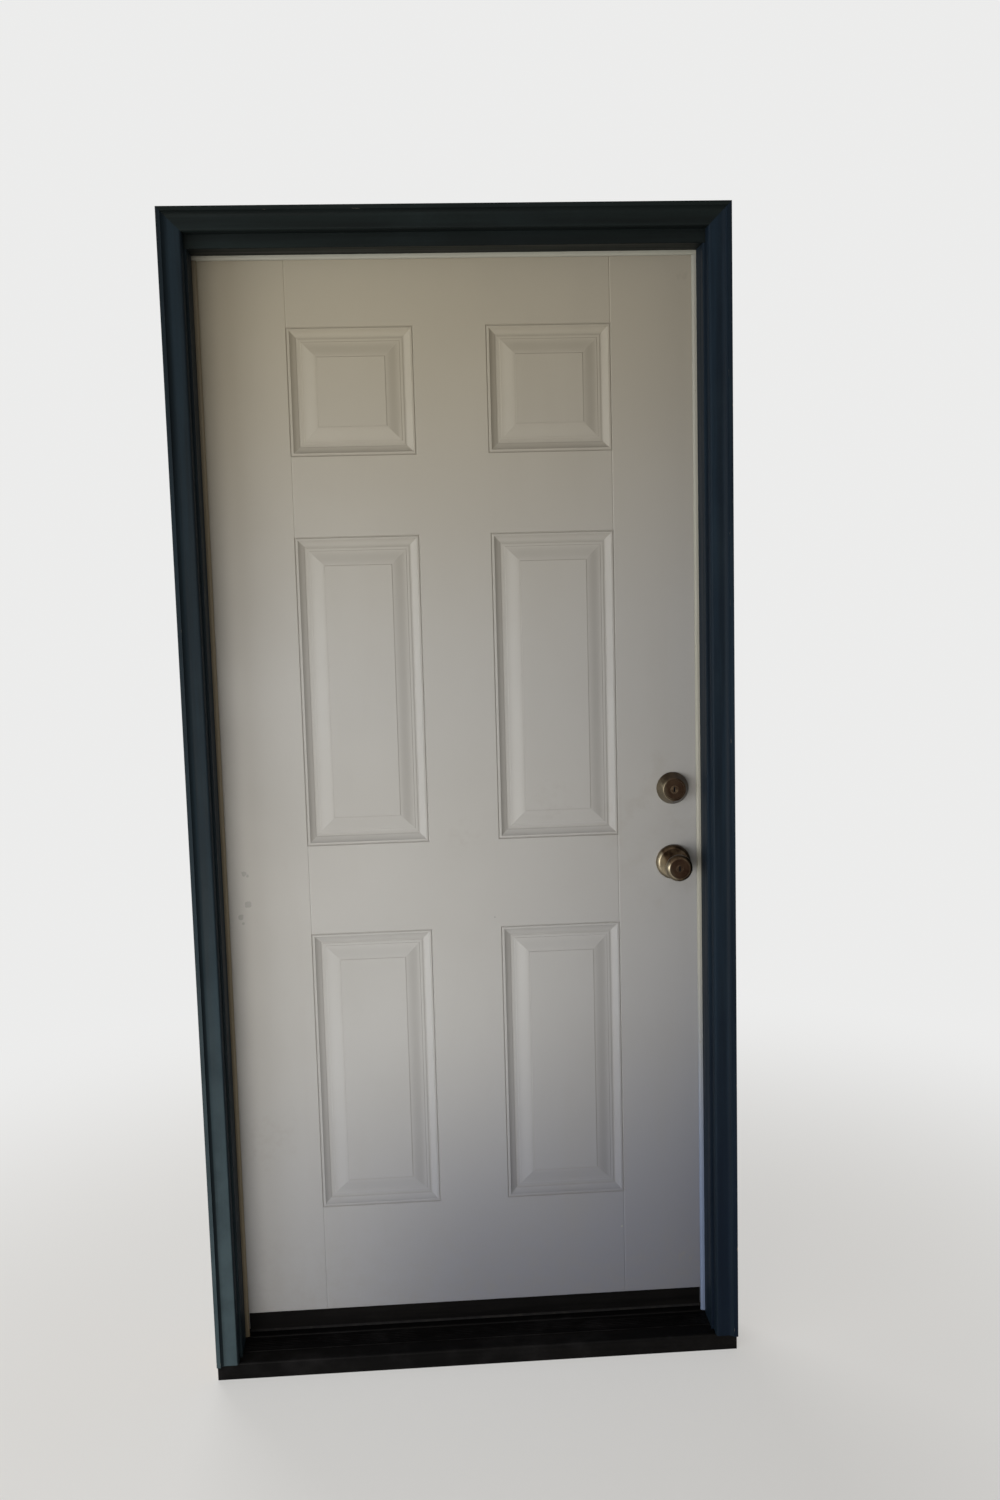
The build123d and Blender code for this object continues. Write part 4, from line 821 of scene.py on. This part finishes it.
cap_screw_step = 2 * (strike_x - cap_screw_inset) / cap_screw_gaps
cap_screw_y = leaf_middle - cap_screw_offset
cap_places = [
    ((step - cap_screw_gaps / 2) * cap_screw_step, cap_screw_y, cap_top)
    for step in range(cap_screw_count)
]
screw_recesses("cap_recesses", "frame", (0, 0, 1), 33, cap_places)


# Floor, light and camera
def seen_directly(tree):
    """1 for what the camera, a gloss or glass shows, 0 for light that falls on the door."""
    path = tree.nodes.new("ShaderNodeLightPath")
    seen = path.outputs["Is Camera Ray"]
    for name in ("Is Glossy Ray", "Is Transmission Ray"):
        either = tree.nodes.new("ShaderNodeMath")
        either.operation = "MAXIMUM"
        tree.links.new(seen, either.inputs[0])
        tree.links.new(path.outputs[name], either.inputs[1])
        seen = either.outputs["Value"]
    return seen


def pale_floor():
    """Plain pale floor that keeps the door's shadow and runs out into the backdrop."""
    mesh = bpy.data.meshes.new("floor")
    disc = bmesh.new()
    bmesh.ops.create_circle(disc, cap_ends=True, segments=96, radius=floor_radius)
    disc.to_mesh(mesh)
    disc.free()
    floor = bpy.data.objects.new("floor", mesh)
    bpy.context.scene.collection.objects.link(floor)
    finish = Finish("floor", roughness=0.9, specular=0.2)
    finish.colour(floor_pale)
    away = finish.tree.nodes.new("ShaderNodeVectorMath")
    away.operation = "LENGTH"
    finish.join(finish.place, away.inputs[0])
    far = finish.spread(away.outputs["Value"], *floor_fade, 0.5, 1.0)
    plain = finish.tree.nodes.new("ShaderNodeEmission")
    plain.inputs["Color"].default_value = backdrop_pale
    mix = finish.tree.nodes.new("ShaderNodeMixShader")
    finish.join(finish.times(far, seen_directly(finish.tree)), mix.inputs["Fac"])
    finish.join(finish.shader.outputs["BSDF"], mix.inputs[1])
    finish.join(plain.outputs["Emission"], mix.inputs[2])
    finish.join(mix.outputs["Shader"], finish.tree.nodes["Material Output"].inputs["Surface"])
    mesh.materials.append(finish.material)


def soft_lamp(name, place, target, side, power, colour, spread):
    """Large square lamp aimed at a point, with its light spread over that many degrees."""
    data = bpy.data.lights.new(name, "AREA")
    data.shape = "SQUARE"
    data.size = side
    data.energy = power
    data.color = colour
    data.spread = radians(spread)
    lamp = bpy.data.objects.new(name, data)
    lamp.visible_camera = False
    bpy.context.scene.collection.objects.link(lamp)
    lamp.location = place
    aim = Vector(target) - Vector(place)
    lamp.rotation_euler = aim.to_track_quat("-Z", "Y").to_euler()


def pale_world(level, colour):
    """Even light, with a plain pale background behind the door."""
    world = bpy.data.worlds.new("studio")
    bpy.context.scene.world = world
    world.use_nodes = True
    tree = world.node_tree
    light = tree.nodes["Background"]
    light.inputs["Color"].default_value = (*colour, 1)
    light.inputs["Strength"].default_value = level
    backdrop = tree.nodes.new("ShaderNodeBackground")
    backdrop.inputs["Color"].default_value = backdrop_pale
    backdrop.inputs["Strength"].default_value = 1.0
    mix = tree.nodes.new("ShaderNodeMixShader")
    tree.links.new(seen_directly(tree), mix.inputs["Fac"])
    tree.links.new(light.outputs["Background"], mix.inputs[1])
    tree.links.new(backdrop.outputs["Background"], mix.inputs[2])
    tree.links.new(mix.outputs["Shader"], tree.nodes["World Output"].inputs["Surface"])


def photo_camera():
    """Camera where the photograph was taken."""
    data = bpy.data.cameras.new("camera")
    data.sensor_width = sensor_width
    data.sensor_fit = "AUTO"
    data.lens = focal_pixels * sensor_width / photo_height
    data.clip_end = camera_reach
    camera = bpy.data.objects.new("camera", data)
    bpy.context.scene.collection.objects.link(camera)
    turn = Matrix((camera_right, -camera_down, -camera_forward)).transposed()
    camera.matrix_world = Matrix.Translation(camera_place) @ turn.to_4x4()
    bpy.context.scene.camera = camera


pale_floor()
for lamp_settings in studio_lamps:
    soft_lamp(*lamp_settings)
pale_world(world_level, world_light)
photo_camera()
bpy.context.scene.view_settings.view_transform = "Standard"
